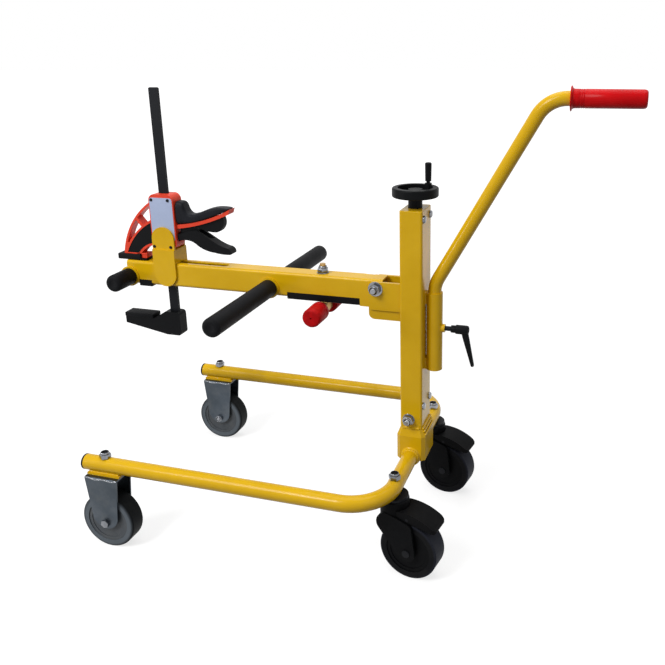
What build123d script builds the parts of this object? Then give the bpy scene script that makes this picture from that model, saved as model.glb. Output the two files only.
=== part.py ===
from build123d import *
import os
from math import cos, radians, sin

# Toilet pan trolley: a U-shaped tube base on four castors carries a mast with a screw lift.
# The lifting arm tilts on the lift carriage and a bar clamp on the arm grips the pan.
# Frame: +X runs from the pan end to the push handle, +Y across, +Z up, floor at z = 0.
# All sizes are in millimetres.

SIDES = {"left": -1, "right": 1}

# Fits
RUN_FIT = 0.06  # radial play of turning pins
SWIVEL_FIT = 0.1  # radial play of the handle tube in its sleeve
HOLE_FIT = 0.25  # radial play of bolts in their holes
SEAT_FIT = 0.1  # play of pieces pressed, screwed or glued together
SLIDE_FIT = 0.3  # play between sliding faces

# Fasteners
M10_D = 10.0
M10_FLATS = 17.0
M10_HEAD_H = 6.5
M10_NUT_H = 11.0
M10_TAIL = 4.0  # bolt end showing past its nut
M10_SUNK = 2.5  # castor bolt's end below its nut's top
M10_WASHER_D = 21.0
PIVOT_WASHER_D = 25.0
WASHER_T = 1.6
M8_D = 8.0
M8_FLATS = 13.0
M8_HEAD_H = 5.3
M8_NUT_H = 8.0
NUT_HEX_SHARE = 0.68  # part of a lock-nut's height that is hexagonal
NUT_COLLAR_SHARE = 0.42  # radius of the nut's collar over its flats
NUT_ROUND_SHARE = 0.12  # rounding of the collar over the nut's height
BOLT_CHAMFER_SHARE = 0.1  # end chamfer over the shank's diameter
DOME_SHARE = 0.75  # rounding of a dome head over its height
BORE_END = 1.0  # blind bore past a screw's tip

# Base frame
TUBE_D = 26.9
TUBE_WALL = 2.6
FRAME_Z = 152.5  # axis height of the base tube
LEG_SPACING = 400.0  # between the axes of the legs
LEG_FRONT_X = -421.0
FRAME_BEND = 70.0  # bend radius of the tube axis
PLUG_FLANGE = 4.0
PLUG_INSERT = 18.0
PLUG_ROUND = 1.5
CASTOR_PLATE_L = 63.0
CASTOR_PLATE_W = 24.0
CASTOR_PLATE_T = 3.5
WELD_SINK = 0.5  # depth of the flat where tube and plate are welded

# Wheels
WHEEL_D = 100.0
CORE_D = 76.0
CORE_RIM_D = 64.0
RIM_STEP = 1.5  # core rim inside the tyre's side
WEB_STEP = 2.5  # core web inside the tyre's side
HUB_D = 24.0
AXLE_D = M8_D
CHEEK_GAP = 2.0  # between a tyre's side and the cheek beside it

# Front castors
FRONT_CASTOR_X = -383.0
FRONT_TYRE_W = 32.0
FRONT_SHOULDER = 4.0
FORK_SHEET = 2.5
FORK_TOP_L = 63.0
FORK_END_R = 24.5
FORK_END_Z = 63.5
FORK_BEND = 3.0

# Rear castors
REAR_CASTOR_Y = 130.0
REAR_TYRE_W = 36.0
REAR_SHOULDER = 2.5
REAR_TRAIL = 31.0
REAR_TURN = -10.0  # resting swivel angle about +Z in degrees
HEAD_D = 48.0
HEAD_BOTTOM_Z = 98.0
STEM_FLANGE_D = 45.0
STEM_FLANGE_T = 4.0
SWIVEL_PIN_D = 16.0
SWIVEL_PIN_H = 21.0
STEM_COLLAR_D = 22.0
STEM_COLLAR_H = 3.0
HOUSING_LEG_T = 5.0
HOUSING_END_R = 15.0
HOOD_R = 10.5
HOOD_X = 30.0
HOOD_Z = 94.0
NECK_R = 18.0
NECK_X = -4.0
NECK_Z = 97.0
TYRE_GAP = 2.5  # between tyre and hood
RIVET_HEAD_D = 13.0
RIVET_HEAD_H = 1.5
PEDAL_PIN_D = 5.0
PEDAL_X = 31.0
PEDAL_Z = 110.5
PEDAL_W = 44.0
PEDAL_ROOT_X = 12.0
PEDAL_ROOT_Z = 121.5
PEDAL_ROOT_T = 8.5
PEDAL_KNEE = (26.5, 107.5)
PEDAL_HEAD_GAP = 1.5  # between the pedal's root and the castor's head
PEDAL_CROWN = (56.0, 116.0)
PEDAL_TIP_X = 81.0
PEDAL_TIP_Z = 100.5
PEDAL_TIP_T = 7.0
PEDAL_SIDE_ROUND = 9.0
PEDAL_EAR_R = 5.0
PEDAL_EAR_W = 16.0
PEDAL_EAR_GAP = 1.0  # room over the housing's ear
BRAKE_SHOE_X = 62.0
BRAKE_SHOE_R = 5.0
BRAKE_SHOE_Z = 100.0
BRAKE_SHOE_W = 30.0

# Mast and its socket
MAST_X = 110.0
MAST_L = 38.0
MAST_W = 60.0
MAST_WALL = 3.0
MAST_CORNER = 4.0
MAST_SLOT = 42.0  # open width of the channel's front
MAST_BOTTOM_Z = 205.0
MAST_TOP_Z = 583.0
CAP_T = 3.0
CAP_BLOCK_H = 24.0
SOCKET_L = 50.0
SOCKET_W = 68.0
SOCKET_CORNER = 6.0
SOCKET_BOTTOM_Z = 146.0
SOCKET_SHOULDER_Z = 190.0
SPIGOT_TOP_Z = 236.0
SPIGOT_WALL = 4.0
SOCKET_FLOOR_Z = 172.0
WELD_COLLAR = 4.0
SOCKET_BOLT_DX = -4.0
SOCKET_BOLT_Z = 221.0
FOOT_BEARING_H = 16.0
BEARING_SCREW_D = 5.0
BEARING_SCREW_L = 15.0
BEARING_SCREW_HEAD_D = 12.5
BEARING_SCREW_HEAD_H = 4.0
BEARING_SCREW_Y = 21.0
TOP_SCREW_Z = 569.0
FOOT_SCREW_Z = 245.0

# Lift spindle and handwheel
SPINDLE_D = 16.0
JOURNAL_D = 12.0
SPINDLE_FOOT = 4.0  # bearing length left below the spindle's end
RIM_D = 75.0
RIM_SECTION = 9.0
RIM_Z = 601.0
RIM_H = 15.0
RIM_ROUND = 2.5
HANDWHEEL_WEB_Z = 603.0
HANDWHEEL_WEB_T = 5.0
HANDWHEEL_HUB_D = 23.0
HANDWHEEL_HUB_TOP_Z = 613.0
SPINDLE_TOP_Z = 611.0
GRIP_PIN_ANGLE = 58.9
GRIP_PIN_R = 29.0  # distance of the grip pin from the spindle
GRIP_PIN_D = 6.0
GRIP_SEAT_D = 11.5
GRIP_SEAT_H = 3.0
GRIP_BOTTOM_Z = 622.0
GRIP_TOP_Z = 652.0
GRIP_FOOT_D = 10.0
GRIP_HEAD_D = 11.0
GRIP_CAP = 2.5

# Lift carriage
CARRIAGE_DROP = 67.5  # carriage below the arm's top
CARRIAGE_TOP_DROP = 2.0  # carriage's upper edge below the arm's top
CARRIAGE_SHEET = 3.0
CARRIAGE_FRONT_X = 35.0
CARRIAGE_CORNER = 10.0
CARRIAGE_GAP = 35.0  # between the carriage's side plates
DOUBLER_DROP = 50.5  # doubler below the arm's top
DOUBLER_CORNER = 8.0
DOUBLER_GAP = 0.5  # between doubler and mast
STOP_LEDGE_T = 4.0
LIFT_NUT_D = 24.0
LIFT_NUT_FLANGE_D = 30.0
LIFT_NUT_FLANGE_T = 5.0
LIFT_NUT_H = 40.0

# Lifting arm
PIVOT_X = 48.0
PIVOT_DROP = 13.5  # pivot axis below the arm's top
ARM_FRONT_X = -430.0
ARM_REAR_X = 58.0
ARM_W = 34.0
ARM_H = 43.0
ARM_TOP_Z = 461.5
ARM_WALL = 3.0
ARM_CORNER = 5.0
LUG_FRONT_X = 18.0
LUG_DROP = 5.0
LUG_ROUND = 14.0
PAD_DEPTH = 12.5
PAD_CHAMFER = 1.0
PAD_SHOWING = 4.0  # pad below the arm's underside
FRONT_PAD_FRONT_X = -407.0
FRONT_PAD_REAR_X = -381.0
REAR_PAD_FRONT_X = -114.0
REAR_PAD_REAR_X = LUG_FRONT_X
SLOT_W = 14.0
SLOT_FRONT_X = -362.0
SLOT_REAR_X = -231.0
ROD_D = 20.0
ROD_RISE = 13.5  # rod axis above the arm's underside
FRONT_ROD_X = -425.0
FRONT_ROD_REACH = 71.0
MIDDLE_ROD_X = -147.0
MIDDLE_ROD_REACH = 223.0
ROD_RING_D = 37.0
ROD_RING_T = 2.5
SLEEVE_RUBBER_D = 31.0
SLEEVE_END = 4.0
SLEEVE_ROUND = 6.0
STOP_X = -53.0
STOP_DROP = 62.0  # stop axis below the arm's top
STOP_ROD_D = 16.0
STOP_NECK_D = 19.0
STOP_CAP_D = 33.0
STOP_CAP_INNER = 17.5  # inner end of a cap from the middle
STOP_CAP_L = 45.0
STOP_CAP_END = 6.0
STOP_CAP_ROUND = 4.0

# Bar clamp on the arm
BAR_X = -349.0
BAR_L = 17.5
BAR_T = 5.5
BAR_TOP_Z = 767.0
BAR_BOTTOM_Z = 321.0
BAR_CHAMFER = 1.5
SADDLE_FRONT = 22.0  # saddle ahead of the bar
SADDLE_REAR = 21.8
SADDLE_SHEET = 3.5
SADDLE_SIDE_GAP = 0.5  # between arm and side plate
SADDLE_DROP = 42.4  # side plate below the arm's top
SADDLE_RISE = 66.0  # side plate above the arm's top
SADDLE_TABLE = 25.3  # seat of the clamp body above the arm's top
BODY_FRONT = 24.0
BODY_REAR = 25.0
BODY_RISE = 124.0
BODY_W = 28.0
BODY_ROUND = 12.0
BAR_GAP = 0.3
LABEL_T = 0.6
LABEL_L = 45.0
LABEL_BOTTOM = 40.0
LABEL_TOP = 118.0
LABEL_ROUND = 5.0
CLAMP_SCREW_D = 4.0
CLAMP_SCREW_HEAD_D = 5.6
CLAMP_SCREW_HEAD_H = 1.8
CLAMP_SCREW_L = 8.0
SCREW_FRONT = 18.0
SCREW_REAR = 15.0
LOW_SCREW_RISE = 30.5
HIGH_SCREW_RISE = 114.0
JAW_W = 18.0
JAW_INSERT_W = 16.0
JAW_PAD_W = 26.0
JAW_PAD_TIP = 77.0  # pad end ahead of the clamp body
JAW_PAD_HEEL = 17.0
JAW_PAD_TOP = 11.0
JAW_PAD_ROUND = 4.0
STRUT_L = 20.0
STRUT_W = 5.2
STRUT_TILT = -50.0
GRIP_W = 25.0
TRIM_W = 20.0
GROOVE_W = 12.6
GROOVE_REACH = 95.0  # groove end behind the clamp body
TRIGGER_W = 20.0
TRIGGER_EYE_R = 5.0
TRIGGER_EYE_L = 12.5
TRIGGER_ROOT_W = 13.0
TRIGGER_PIN_D = 5.0
TRIGGER_DX = -6.5
TRIGGER_RISE = 47.0
TRIGGER_POCKET = 12.5
TRIGGER_POCKET_H = 16.0
TRIGGER_GAP = 1.0  # between trigger and clamp body
TRIGGER_CHANNEL_START = 40.0  # channel for the release lever, behind the clamp body
TRIGGER_CHANNEL_L = 60.0
TRIGGER_WEB_W = 11.0
RELEASE_W = 11.0
RELEASE_PIN_D = 4.0
RELEASE_DX = 52.0
RELEASE_RISE = 82.5
RELEASE_ROOT_R = 4.0
LOCK_PLATE_T = 5.0
LOCK_PLATE_L = 32.0
LOCK_PLATE_W = 20.0
LOCK_PLATE_RISE = 86.0
LOCK_CAVITY_H = 12.0
LOCK_CAVITY_GAP = 1.0  # round the lock plate
FIXED_JAW_W = 22.0
FIXED_JAW_TOP_Z = 366.0
FIXED_JAW_WALL = 6.0
FIXED_JAW_FLOOR = 4.0
FIXED_JAW_TIP_Z = 337.0
FIXED_PAD_TOP_Z = 358.0
FIXED_PAD_T = 8.0

# Side views of the clamp, as distance from the clamp body and height above the arm
JAW_CROWN = ((0.0, 109.5), (43.0, 68.0), (65.0, JAW_PAD_TOP))
JAW_THROAT = ((0.0, 29.5), (20.0, 21.8), (30.0, JAW_PAD_TOP))
WINDOW_CROWN = ((3.0, 102.0), (38.5, 67.5), (55.5, 32.0))
WINDOW_SILL = ((3.0, 76.0), (37.5, 49.8), (53.0, 31.0))
INSERT_CROWN = ((3.0, 71.0), (35.0, 47.5), (58.0, 13.0))
INSERT_THROAT = ((3.0, 33.0), (22.6, 25.0), (33.5, 13.0))
STRUT_MID = (26.5, 70.5)
TRIM_LOW = ((0.0, 63.0), (51.0, 73.7), (104.0, 94.0))
TRIM_HIGH = ((0.0, 70.0), (51.0, 80.0), (107.0, 103.0))
GROOVE_TOP = ((0.0, 78.0), (51.0, 88.5), (104.0, 98.0))
GRIP_HORN = ((12.0, 112.0), (16.0, 109.5), (17.5, 104.0))
GRIP_HORN_RISE = 112.5  # top of the grip where it meets the clamp body
GRIP_SADDLE = ((20.5, 97.0), (28.0, 90.0), (45.0, 93.5))
GRIP_BACK = ((62.0, 100.5), (79.0, 104.8), (95.0, 105.0))
TRIGGER_CREST = ((10.0, 55.0), (26.0, 60.5), (40.0, 62.5))
TRIGGER_RAMP = ((72.0, 43.5), (84.5, 37.3), (94.5, 34.0))
TRIGGER_NOSE = ((94.5, 34.0), (102.7, 29.5), (104.2, 24.5))
TRIGGER_TOE = ((104.2, 24.5), (103.3, 22.5), (100.5, 22.0))
TRIGGER_SOLE = ((100.5, 22.0), (86.5, 22.0), (72.0, 24.0))
TRIGGER_HOLLOW = ((72.0, 24.0), (53.0, 28.0), (40.0, 34.5))
TRIGGER_THROAT = ((40.0, 34.5), (27.0, 42.0), (12.0, 43.0))
TRIGGER_WEB = ((5.0, 50.0), (5.0, 69.0), (39.5, 74.0), (39.5, 50.0))
RELEASE_HEEL = (41.5, 74.0)
RELEASE_BELLY = ((41.5, 66.5), (58.0, 61.0), (77.0, 60.0))
RELEASE_TIP = ((77.0, 60.0), (87.5, 66.5), (90.0, 88.5))

# Push handle and its clamping lever
HANDLE_D = 22.0
HANDLE_WALL = 2.0
HANDLE_BOTTOM_Z = 312.0
HANDLE_KNEE_Z = 456.5
HANDLE_TOP_X = 310.5
HANDLE_TOP_Z = 755.6
HANDLE_END_X = 446.0
HANDLE_BEND = 50.0
SLEEVE_GAP = 0.65  # between mast and sleeve
SLEEVE_BOTTOM_Z = 307.5
SLEEVE_TOP_Z = 443.3
SLEEVE_TAB_H = 20.0
SLEEVE_TAB_W = 14.0
GRIP_START_X = 343.0
GRIP_END_X = 450.0
HAND_GRIP_D = 28.0
HAND_GRIP_FLANGE_D = 37.0
HAND_GRIP_FLANGE_T = 2.5
HAND_GRIP_ROUND = 3.0
LEVER_Z = 381.6
LEVER_BOSS_D = 14.0
LEVER_BOSS_REACH = 18.0  # boss end from the sleeve's axis
LEVER_STUD_D = M8_D
LEVER_STUD_REACH = 46.0
LEVER_HUB_START = 28.0
LEVER_HUB_END = 58.0
LEVER_HUB_D = 15.5
LEVER_ARM_X = 50.0  # arm root from the sleeve's axis
LEVER_TIP_X = 65.0
LEVER_TIP_Z = 320.5
LEVER_TIP_R = 2.8
LEVER_ROOT_R = 5.8
LEVER_ARM_W = 8.0

os.makedirs("parts", exist_ok=True)


def save(piece, name):
    """Label a finished piece and write it under its node name."""
    piece.label = name
    export_step(piece, f"parts/{name}.step")


def lock_nut(bore, flats, height):
    """Self-locking hex nut standing on z = 0."""
    with BuildPart() as nut:
        with BuildSketch():
            RegularPolygon(flats / 2, 6, major_radius=False)
        extrude(amount=height * NUT_HEX_SHARE)
        with BuildSketch(Plane.XY.offset(height * NUT_HEX_SHARE)):
            Circle(flats * NUT_COLLAR_SHARE)
        extrude(amount=height * (1 - NUT_HEX_SHARE))
        fillet(nut.faces().sort_by(Axis.Z)[-1].edges(), height * NUT_ROUND_SHARE)
        Hole(bore / 2 + SEAT_FIT)
    return nut.part


def hex_bolt(shank, length, flats, head):
    """Hex bolt along +Z, the underside of its head on z = 0."""
    with BuildPart() as bolt:
        with BuildSketch():
            RegularPolygon(flats / 2, 6, major_radius=False)
        extrude(amount=-head)
        with BuildSketch():
            Circle(shank / 2)
        extrude(amount=length)
        chamfer(bolt.faces().sort_by(Axis.Z)[-1].edges(), shank * BOLT_CHAMFER_SHARE)
    return bolt.part


def washer(bore, outer):
    """Flat washer lying on z = 0."""
    with BuildPart() as ring:
        with BuildSketch():
            Circle(outer / 2)
            Circle(bore / 2 + SEAT_FIT, mode=Mode.SUBTRACT)
        extrude(amount=WASHER_T)
    return ring.part


def dome_screw(shank, length, head_d, head_h):
    """Dome-headed screw along -Z, the underside of its head on z = 0."""
    with BuildPart() as screw:
        with BuildSketch():
            Circle(head_d / 2)
        extrude(amount=head_h)
        fillet(screw.faces().sort_by(Axis.Z)[-1].edges(), head_h * DOME_SHARE)
        with BuildSketch():
            Circle(shank / 2)
        extrude(amount=-length)
    return screw.part


# Base frame: one bent tube with the front castor plates welded under its legs.
leg_y = LEG_SPACING / 2
frame_top = FRAME_Z + TUBE_D / 2
frame_bottom = FRAME_Z - TUBE_D / 2
fork_top_z = frame_bottom + WELD_SINK - CASTOR_PLATE_T
front_stations = [(FRONT_CASTOR_X, side * leg_y) for side in SIDES.values()]
rear_stations = [(MAST_X, side * REAR_CASTOR_Y) for side in SIDES.values()]

with BuildPart() as base_frame:
    with BuildLine() as frame_route:
        FilletPolyline(
            (LEG_FRONT_X, -leg_y, FRAME_Z),
            (MAST_X, -leg_y, FRAME_Z),
            (MAST_X, leg_y, FRAME_Z),
            (LEG_FRONT_X, leg_y, FRAME_Z),
            radius=FRAME_BEND,
        )
    with BuildSketch(Plane(frame_route.line @ 0, z_dir=frame_route.line % 0)):
        Circle(TUBE_D / 2)
        Circle(TUBE_D / 2 - TUBE_WALL, mode=Mode.SUBTRACT)
    sweep()
    with Locations([(x, y, fork_top_z + CASTOR_PLATE_T / 2) for x, y in front_stations]):
        Box(CASTOR_PLATE_L, CASTOR_PLATE_W, CASTOR_PLATE_T)
    with Locations([(x, y, FRAME_Z) for x, y in front_stations + rear_stations]):
        Hole(M10_D / 2 + HOLE_FIT, depth=TUBE_D)
save(base_frame.part, "base_frame")

with BuildPart() as tube_end_plugs:
    for side in SIDES.values():
        tube_end = Plane((LEG_FRONT_X, side * leg_y, FRAME_Z), z_dir=(1, 0, 0))
        with BuildSketch(tube_end):
            Circle(TUBE_D / 2)
        extrude(amount=-PLUG_FLANGE)
        with BuildSketch(tube_end):
            Circle(TUBE_D / 2 - TUBE_WALL - SEAT_FIT)
        extrude(amount=PLUG_INSERT)
    fillet(tube_end_plugs.edges().group_by(Axis.X)[0], PLUG_ROUND)
save(tube_end_plugs.part, "tube_end_plugs")

# Wheels: a moulded core with a plain bore and a tyre round it.


def wheel_core(tyre_w):
    """Wheel core about the Y axis, its hub as wide as the space between the cheeks."""
    hub_w = tyre_w + 2 * CHEEK_GAP - 2 * SLIDE_FIT
    with BuildPart() as core:
        for outer_d, width in ((HUB_D, hub_w), (CORE_D, tyre_w - 2 * WEB_STEP)):
            with BuildSketch(Plane.XZ):
                Circle(outer_d / 2)
            extrude(amount=width / 2, both=True)
        with BuildSketch(Plane.XZ):
            Circle(CORE_D / 2)
            Circle(CORE_RIM_D / 2, mode=Mode.SUBTRACT)
        extrude(amount=tyre_w / 2 - RIM_STEP, both=True)
        with BuildSketch(Plane.XZ):
            Circle(AXLE_D / 2 + RUN_FIT)
        extrude(amount=hub_w, both=True, mode=Mode.SUBTRACT)
    return core.part


def wheel_tyre(tyre_w, shoulder):
    """Tyre about the Y axis with rounded shoulders."""
    with BuildPart() as tyre:
        with BuildSketch(Plane.XZ):
            Circle(WHEEL_D / 2)
            Circle(CORE_D / 2 + SEAT_FIT, mode=Mode.SUBTRACT)
        extrude(amount=tyre_w / 2, both=True)
        fillet(tyre.edges().filter_by(GeomType.CIRCLE).sort_by(SortBy.RADIUS)[-2:], shoulder)
    return tyre.part


# Front castors: pressed forks bolted up through plate and tube.
axle_z = WHEEL_D / 2
fork_gap = FRONT_TYRE_W + 2 * CHEEK_GAP
fork_w = fork_gap + 2 * FORK_SHEET
fork_web_z = fork_top_z - FORK_SHEET

with BuildPart() as front_fork:
    with BuildSketch(Plane.XZ):
        with Locations((0, fork_top_z - FORK_SHEET / 2)):
            Rectangle(FORK_TOP_L, FORK_SHEET)
        with Locations((0, FORK_END_Z)):
            Circle(FORK_END_R)
        make_hull()
    extrude(amount=fork_w / 2, both=True)
    fillet(front_fork.edges().filter_by(Axis.X).group_by(Axis.Z)[-1], FORK_BEND)
    with BuildSketch(Plane.XY.offset(fork_web_z)):
        Rectangle(2 * FORK_TOP_L, fork_gap)
    extrude(amount=-fork_web_z, mode=Mode.SUBTRACT)
    with Locations((0, 0, fork_top_z)):
        Hole(M10_D / 2 + HOLE_FIT, depth=2 * FORK_SHEET)
    with Locations(Plane((0, 0, axle_z), z_dir=(0, 1, 0))):
        Hole(AXLE_D / 2 + HOLE_FIT)

for side_name, side in SIDES.items():
    station = Location((FRONT_CASTOR_X, side * leg_y, 0))
    hub_centre = Location((FRONT_CASTOR_X, side * leg_y, axle_z))
    save(station * front_fork.part, f"front_fork_{side_name}")
    save(hub_centre * wheel_core(FRONT_TYRE_W), f"front_wheel_{side_name}")
    save(hub_centre * wheel_tyre(FRONT_TYRE_W, FRONT_SHOULDER), f"front_tyre_{side_name}")

front_bolt_l = frame_top + M10_NUT_H - M10_SUNK - fork_web_z
front_bolt = hex_bolt(M10_D, front_bolt_l, M10_FLATS, M10_HEAD_H)
axle_bolt = hex_bolt(AXLE_D, fork_w + M8_NUT_H, M8_FLATS, M8_HEAD_H)
axle_nut = lock_nut(M8_D, M8_FLATS, M8_NUT_H)

# Rear castors, drawn about their swivel axis with the wheel trailing along +X.
stem_flange_z = frame_bottom - STEM_FLANGE_T
pin_end_z = stem_flange_z - SWIVEL_PIN_H
head_top_z = stem_flange_z - SLIDE_FIT
housing_gap = REAR_TYRE_W + 2 * CHEEK_GAP
housing_w = housing_gap + 2 * HOUSING_LEG_T

with BuildPart() as castor_stem:
    for z, diameter, height in (
        (stem_flange_z, STEM_FLANGE_D, STEM_FLANGE_T),
        (frame_bottom, M10_D, TUBE_D + M10_NUT_H - M10_SUNK),
        (pin_end_z, SWIVEL_PIN_D, SWIVEL_PIN_H),
        (pin_end_z - STEM_COLLAR_H, STEM_COLLAR_D, STEM_COLLAR_H),
    ):
        with BuildSketch(Plane.XY.offset(z)):
            Circle(diameter / 2)
        extrude(amount=height)

with BuildPart() as castor_housing:
    with BuildSketch(Plane.XZ):
        with Locations((REAR_TRAIL, axle_z)):
            Circle(HOUSING_END_R)
        with Locations((HOOD_X, HOOD_Z)):
            Circle(HOOD_R)
        with Locations((NECK_X, NECK_Z)):
            Circle(NECK_R)
        make_hull()
    extrude(amount=housing_w / 2, both=True)
    with BuildSketch(Plane.XZ):
        with Locations((PEDAL_X, PEDAL_Z)):
            Circle(PEDAL_EAR_R)
        with Locations((HOOD_X, HOOD_Z)):
            Circle(HOOD_R)
        make_hull()
    extrude(amount=PEDAL_EAR_W / 2, both=True)
    with BuildSketch(Plane.XY.offset(HEAD_BOTTOM_Z)):
        Circle(HEAD_D / 2)
    extrude(amount=head_top_z - HEAD_BOTTOM_Z)
    fillet(castor_housing.faces().sort_by(Axis.Z)[-1].edges(), SLEEVE_ROUND / 2)
    with BuildSketch(Plane.XZ):
        with Locations((REAR_TRAIL, axle_z)):
            Circle(WHEEL_D / 2 + TYRE_GAP)
    extrude(amount=housing_gap / 2, both=True, mode=Mode.SUBTRACT)
    with Locations((0, 0, head_top_z)):
        Hole(SWIVEL_PIN_D / 2 + RUN_FIT, depth=head_top_z - pin_end_z + SLIDE_FIT)
    with BuildSketch(Plane.XY.offset(pin_end_z + SLIDE_FIT)):
        Circle(STEM_COLLAR_D / 2 + SLIDE_FIT)
    extrude(amount=-(pin_end_z - axle_z), mode=Mode.SUBTRACT)
    with Locations(Plane((REAR_TRAIL, 0, axle_z), z_dir=(0, 1, 0))):
        Hole(AXLE_D / 2 + HOLE_FIT)
    with Locations(Plane((PEDAL_X, 0, PEDAL_Z), z_dir=(0, 1, 0))):
        Hole(PEDAL_PIN_D / 2 + SEAT_FIT)

with BuildPart() as rear_axle:
    with BuildSketch(Plane.XZ):
        Circle(AXLE_D / 2)
    extrude(amount=housing_w / 2, both=True)
    for face_y in (-housing_w / 2, housing_w / 2):
        with BuildSketch(Plane((0, face_y, 0), z_dir=(0, face_y, 0))):
            Circle(RIVET_HEAD_D / 2)
        extrude(amount=RIVET_HEAD_H)

with BuildPart() as brake_pedal:
    with BuildSketch(Plane.XZ):
        with BuildLine():
            tip_top = (PEDAL_TIP_X - PEDAL_TIP_T / 2, PEDAL_TIP_Z + PEDAL_TIP_T / 2)
            tip_low = (PEDAL_TIP_X - PEDAL_TIP_T / 2, PEDAL_TIP_Z - PEDAL_TIP_T / 2)
            root_top = (PEDAL_ROOT_X, PEDAL_ROOT_Z)
            root_low = (PEDAL_ROOT_X, PEDAL_ROOT_Z - PEDAL_ROOT_T)
            ThreePointArc(root_top, PEDAL_CROWN, tip_top)
            ThreePointArc(tip_top, (PEDAL_TIP_X, PEDAL_TIP_Z), tip_low)
            Polyline(tip_low, PEDAL_KNEE, root_low, root_top)
        make_face()
    extrude(amount=PEDAL_W / 2, both=True)
    with BuildSketch(Plane.XY.offset(axle_z)) as pedal_plan:
        with Locations((PEDAL_ROOT_X, 0)):
            Rectangle(PEDAL_TIP_X - PEDAL_ROOT_X, PEDAL_W, align=(Align.MIN, Align.CENTER))
        fillet(pedal_plan.vertices().group_by(Axis.X)[-1], PEDAL_SIDE_ROUND)
    extrude(amount=WHEEL_D, mode=Mode.INTERSECT)
    with BuildSketch(Plane.XY.offset(axle_z)):
        Circle(HEAD_D / 2 + PEDAL_HEAD_GAP)
    extrude(amount=WHEEL_D, mode=Mode.SUBTRACT)
    with BuildSketch(Plane.XZ):
        with Locations((BRAKE_SHOE_X, BRAKE_SHOE_Z)):
            Circle(BRAKE_SHOE_R)
    extrude(amount=BRAKE_SHOE_W / 2, both=True)
    with BuildSketch(Plane.XZ):
        with Locations((PEDAL_ROOT_X, PEDAL_Z + PEDAL_EAR_R + PEDAL_EAR_GAP)):
            Rectangle(
                PEDAL_X - PEDAL_ROOT_X + HOOD_R,
                WHEEL_D,
                align=(Align.MIN, Align.MAX),
            )
    extrude(amount=PEDAL_EAR_W / 2 + SLIDE_FIT, both=True, mode=Mode.SUBTRACT)
    with Locations(Plane((PEDAL_X, 0, PEDAL_Z), z_dir=(0, 1, 0))):
        Hole(PEDAL_PIN_D / 2 + RUN_FIT)

with BuildPart() as pedal_pin:
    with BuildSketch(Plane.XZ):
        with Locations((PEDAL_X, PEDAL_Z)):
            Circle(PEDAL_PIN_D / 2)
    extrude(amount=PEDAL_W / 2, both=True)

for side_name, side in SIDES.items():
    swivel = Location((MAST_X, side * REAR_CASTOR_Y, 0), (0, 0, REAR_TURN))
    hub_centre = swivel * Location((REAR_TRAIL, 0, axle_z))
    save(swivel * castor_housing.part, f"rear_castor_{side_name}")
    save(hub_centre * wheel_core(REAR_TYRE_W), f"rear_wheel_{side_name}")
    save(hub_centre * wheel_tyre(REAR_TYRE_W, REAR_SHOULDER), f"rear_tyre_{side_name}")
    save(swivel * brake_pedal.part, f"brake_pedal_{side_name}")
    with BuildPart() as castor_pins:
        with Locations(hub_centre):
            add(rear_axle.part)
        with Locations(swivel):
            add(pedal_pin.part)
    save(castor_pins.part, f"rear_castor_pins_{side_name}")

with BuildPart() as rear_castor_stems:
    with Locations([(x, y, 0) for x, y in rear_stations]):
        add(castor_stem.part)
save(rear_castor_stems.part, "rear_castor_stems")

# Mast socket: a block welded over the cross tube with a hollow spigot up into the mast.
inner_l = MAST_L - 2 * MAST_WALL
inner_w = MAST_W - 2 * MAST_WALL
spigot_l = inner_l - 2 * SLIDE_FIT
spigot_w = inner_w - 2 * SLIDE_FIT
mast_front_x = MAST_X - MAST_L / 2
mast_rear_x = MAST_X + MAST_L / 2
socket_bolt_x = MAST_X + SOCKET_BOLT_DX

with BuildPart() as mast_socket:
    with BuildSketch(Plane.XY.offset(SOCKET_BOTTOM_Z)) as socket_foot:
        with Locations((MAST_X, 0)):
            Rectangle(SOCKET_L, SOCKET_W)
        chamfer(socket_foot.vertices(), SOCKET_CORNER)
    extrude(amount=SOCKET_SHOULDER_Z - SOCKET_BOTTOM_Z)
    with BuildSketch(Plane.XY.offset(SOCKET_SHOULDER_Z)) as shoulder:
        with Locations((MAST_X, 0)):
            Rectangle(SOCKET_L, SOCKET_W)
        chamfer(shoulder.vertices(), SOCKET_CORNER)
    with BuildSketch(Plane.XY.offset(MAST_BOTTOM_Z)) as collar:
        with Locations((MAST_X, 0)):
            Rectangle(MAST_L, MAST_W)
        chamfer(collar.vertices(), MAST_CORNER)
    loft(ruled=True)
    with BuildSketch(Plane.XY.offset(SOCKET_SHOULDER_Z)):
        with Locations((MAST_X, 0)):
            Rectangle(spigot_l, spigot_w)
    extrude(amount=SPIGOT_TOP_Z - SOCKET_SHOULDER_Z)
    for side in SIDES.values():
        with Locations(Location((MAST_X, side * SOCKET_W / 2, FRAME_Z), (side * -90, 0, 0))):
            Cone(
                TUBE_D / 2 + WELD_COLLAR,
                TUBE_D / 2 + SEAT_FIT,
                WELD_COLLAR,
                align=(Align.CENTER, Align.CENTER, Align.MIN),
            )
    with BuildSketch(Plane.XY.offset(SOCKET_FLOOR_Z)):
        with Locations((MAST_X, 0)):
            Rectangle(spigot_l - 2 * SPIGOT_WALL, spigot_w - 2 * SPIGOT_WALL)
    extrude(amount=SPIGOT_TOP_Z - SOCKET_FLOOR_Z, mode=Mode.SUBTRACT)
    with Locations(Plane((MAST_X, 0, FRAME_Z), z_dir=(0, 1, 0))):
        Hole(TUBE_D / 2 + SEAT_FIT)
    with Locations(Plane((socket_bolt_x, 0, SOCKET_BOLT_Z), z_dir=(0, 1, 0))):
        Hole(M10_D / 2 + HOLE_FIT)
save(mast_socket.part, "mast_socket")

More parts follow.
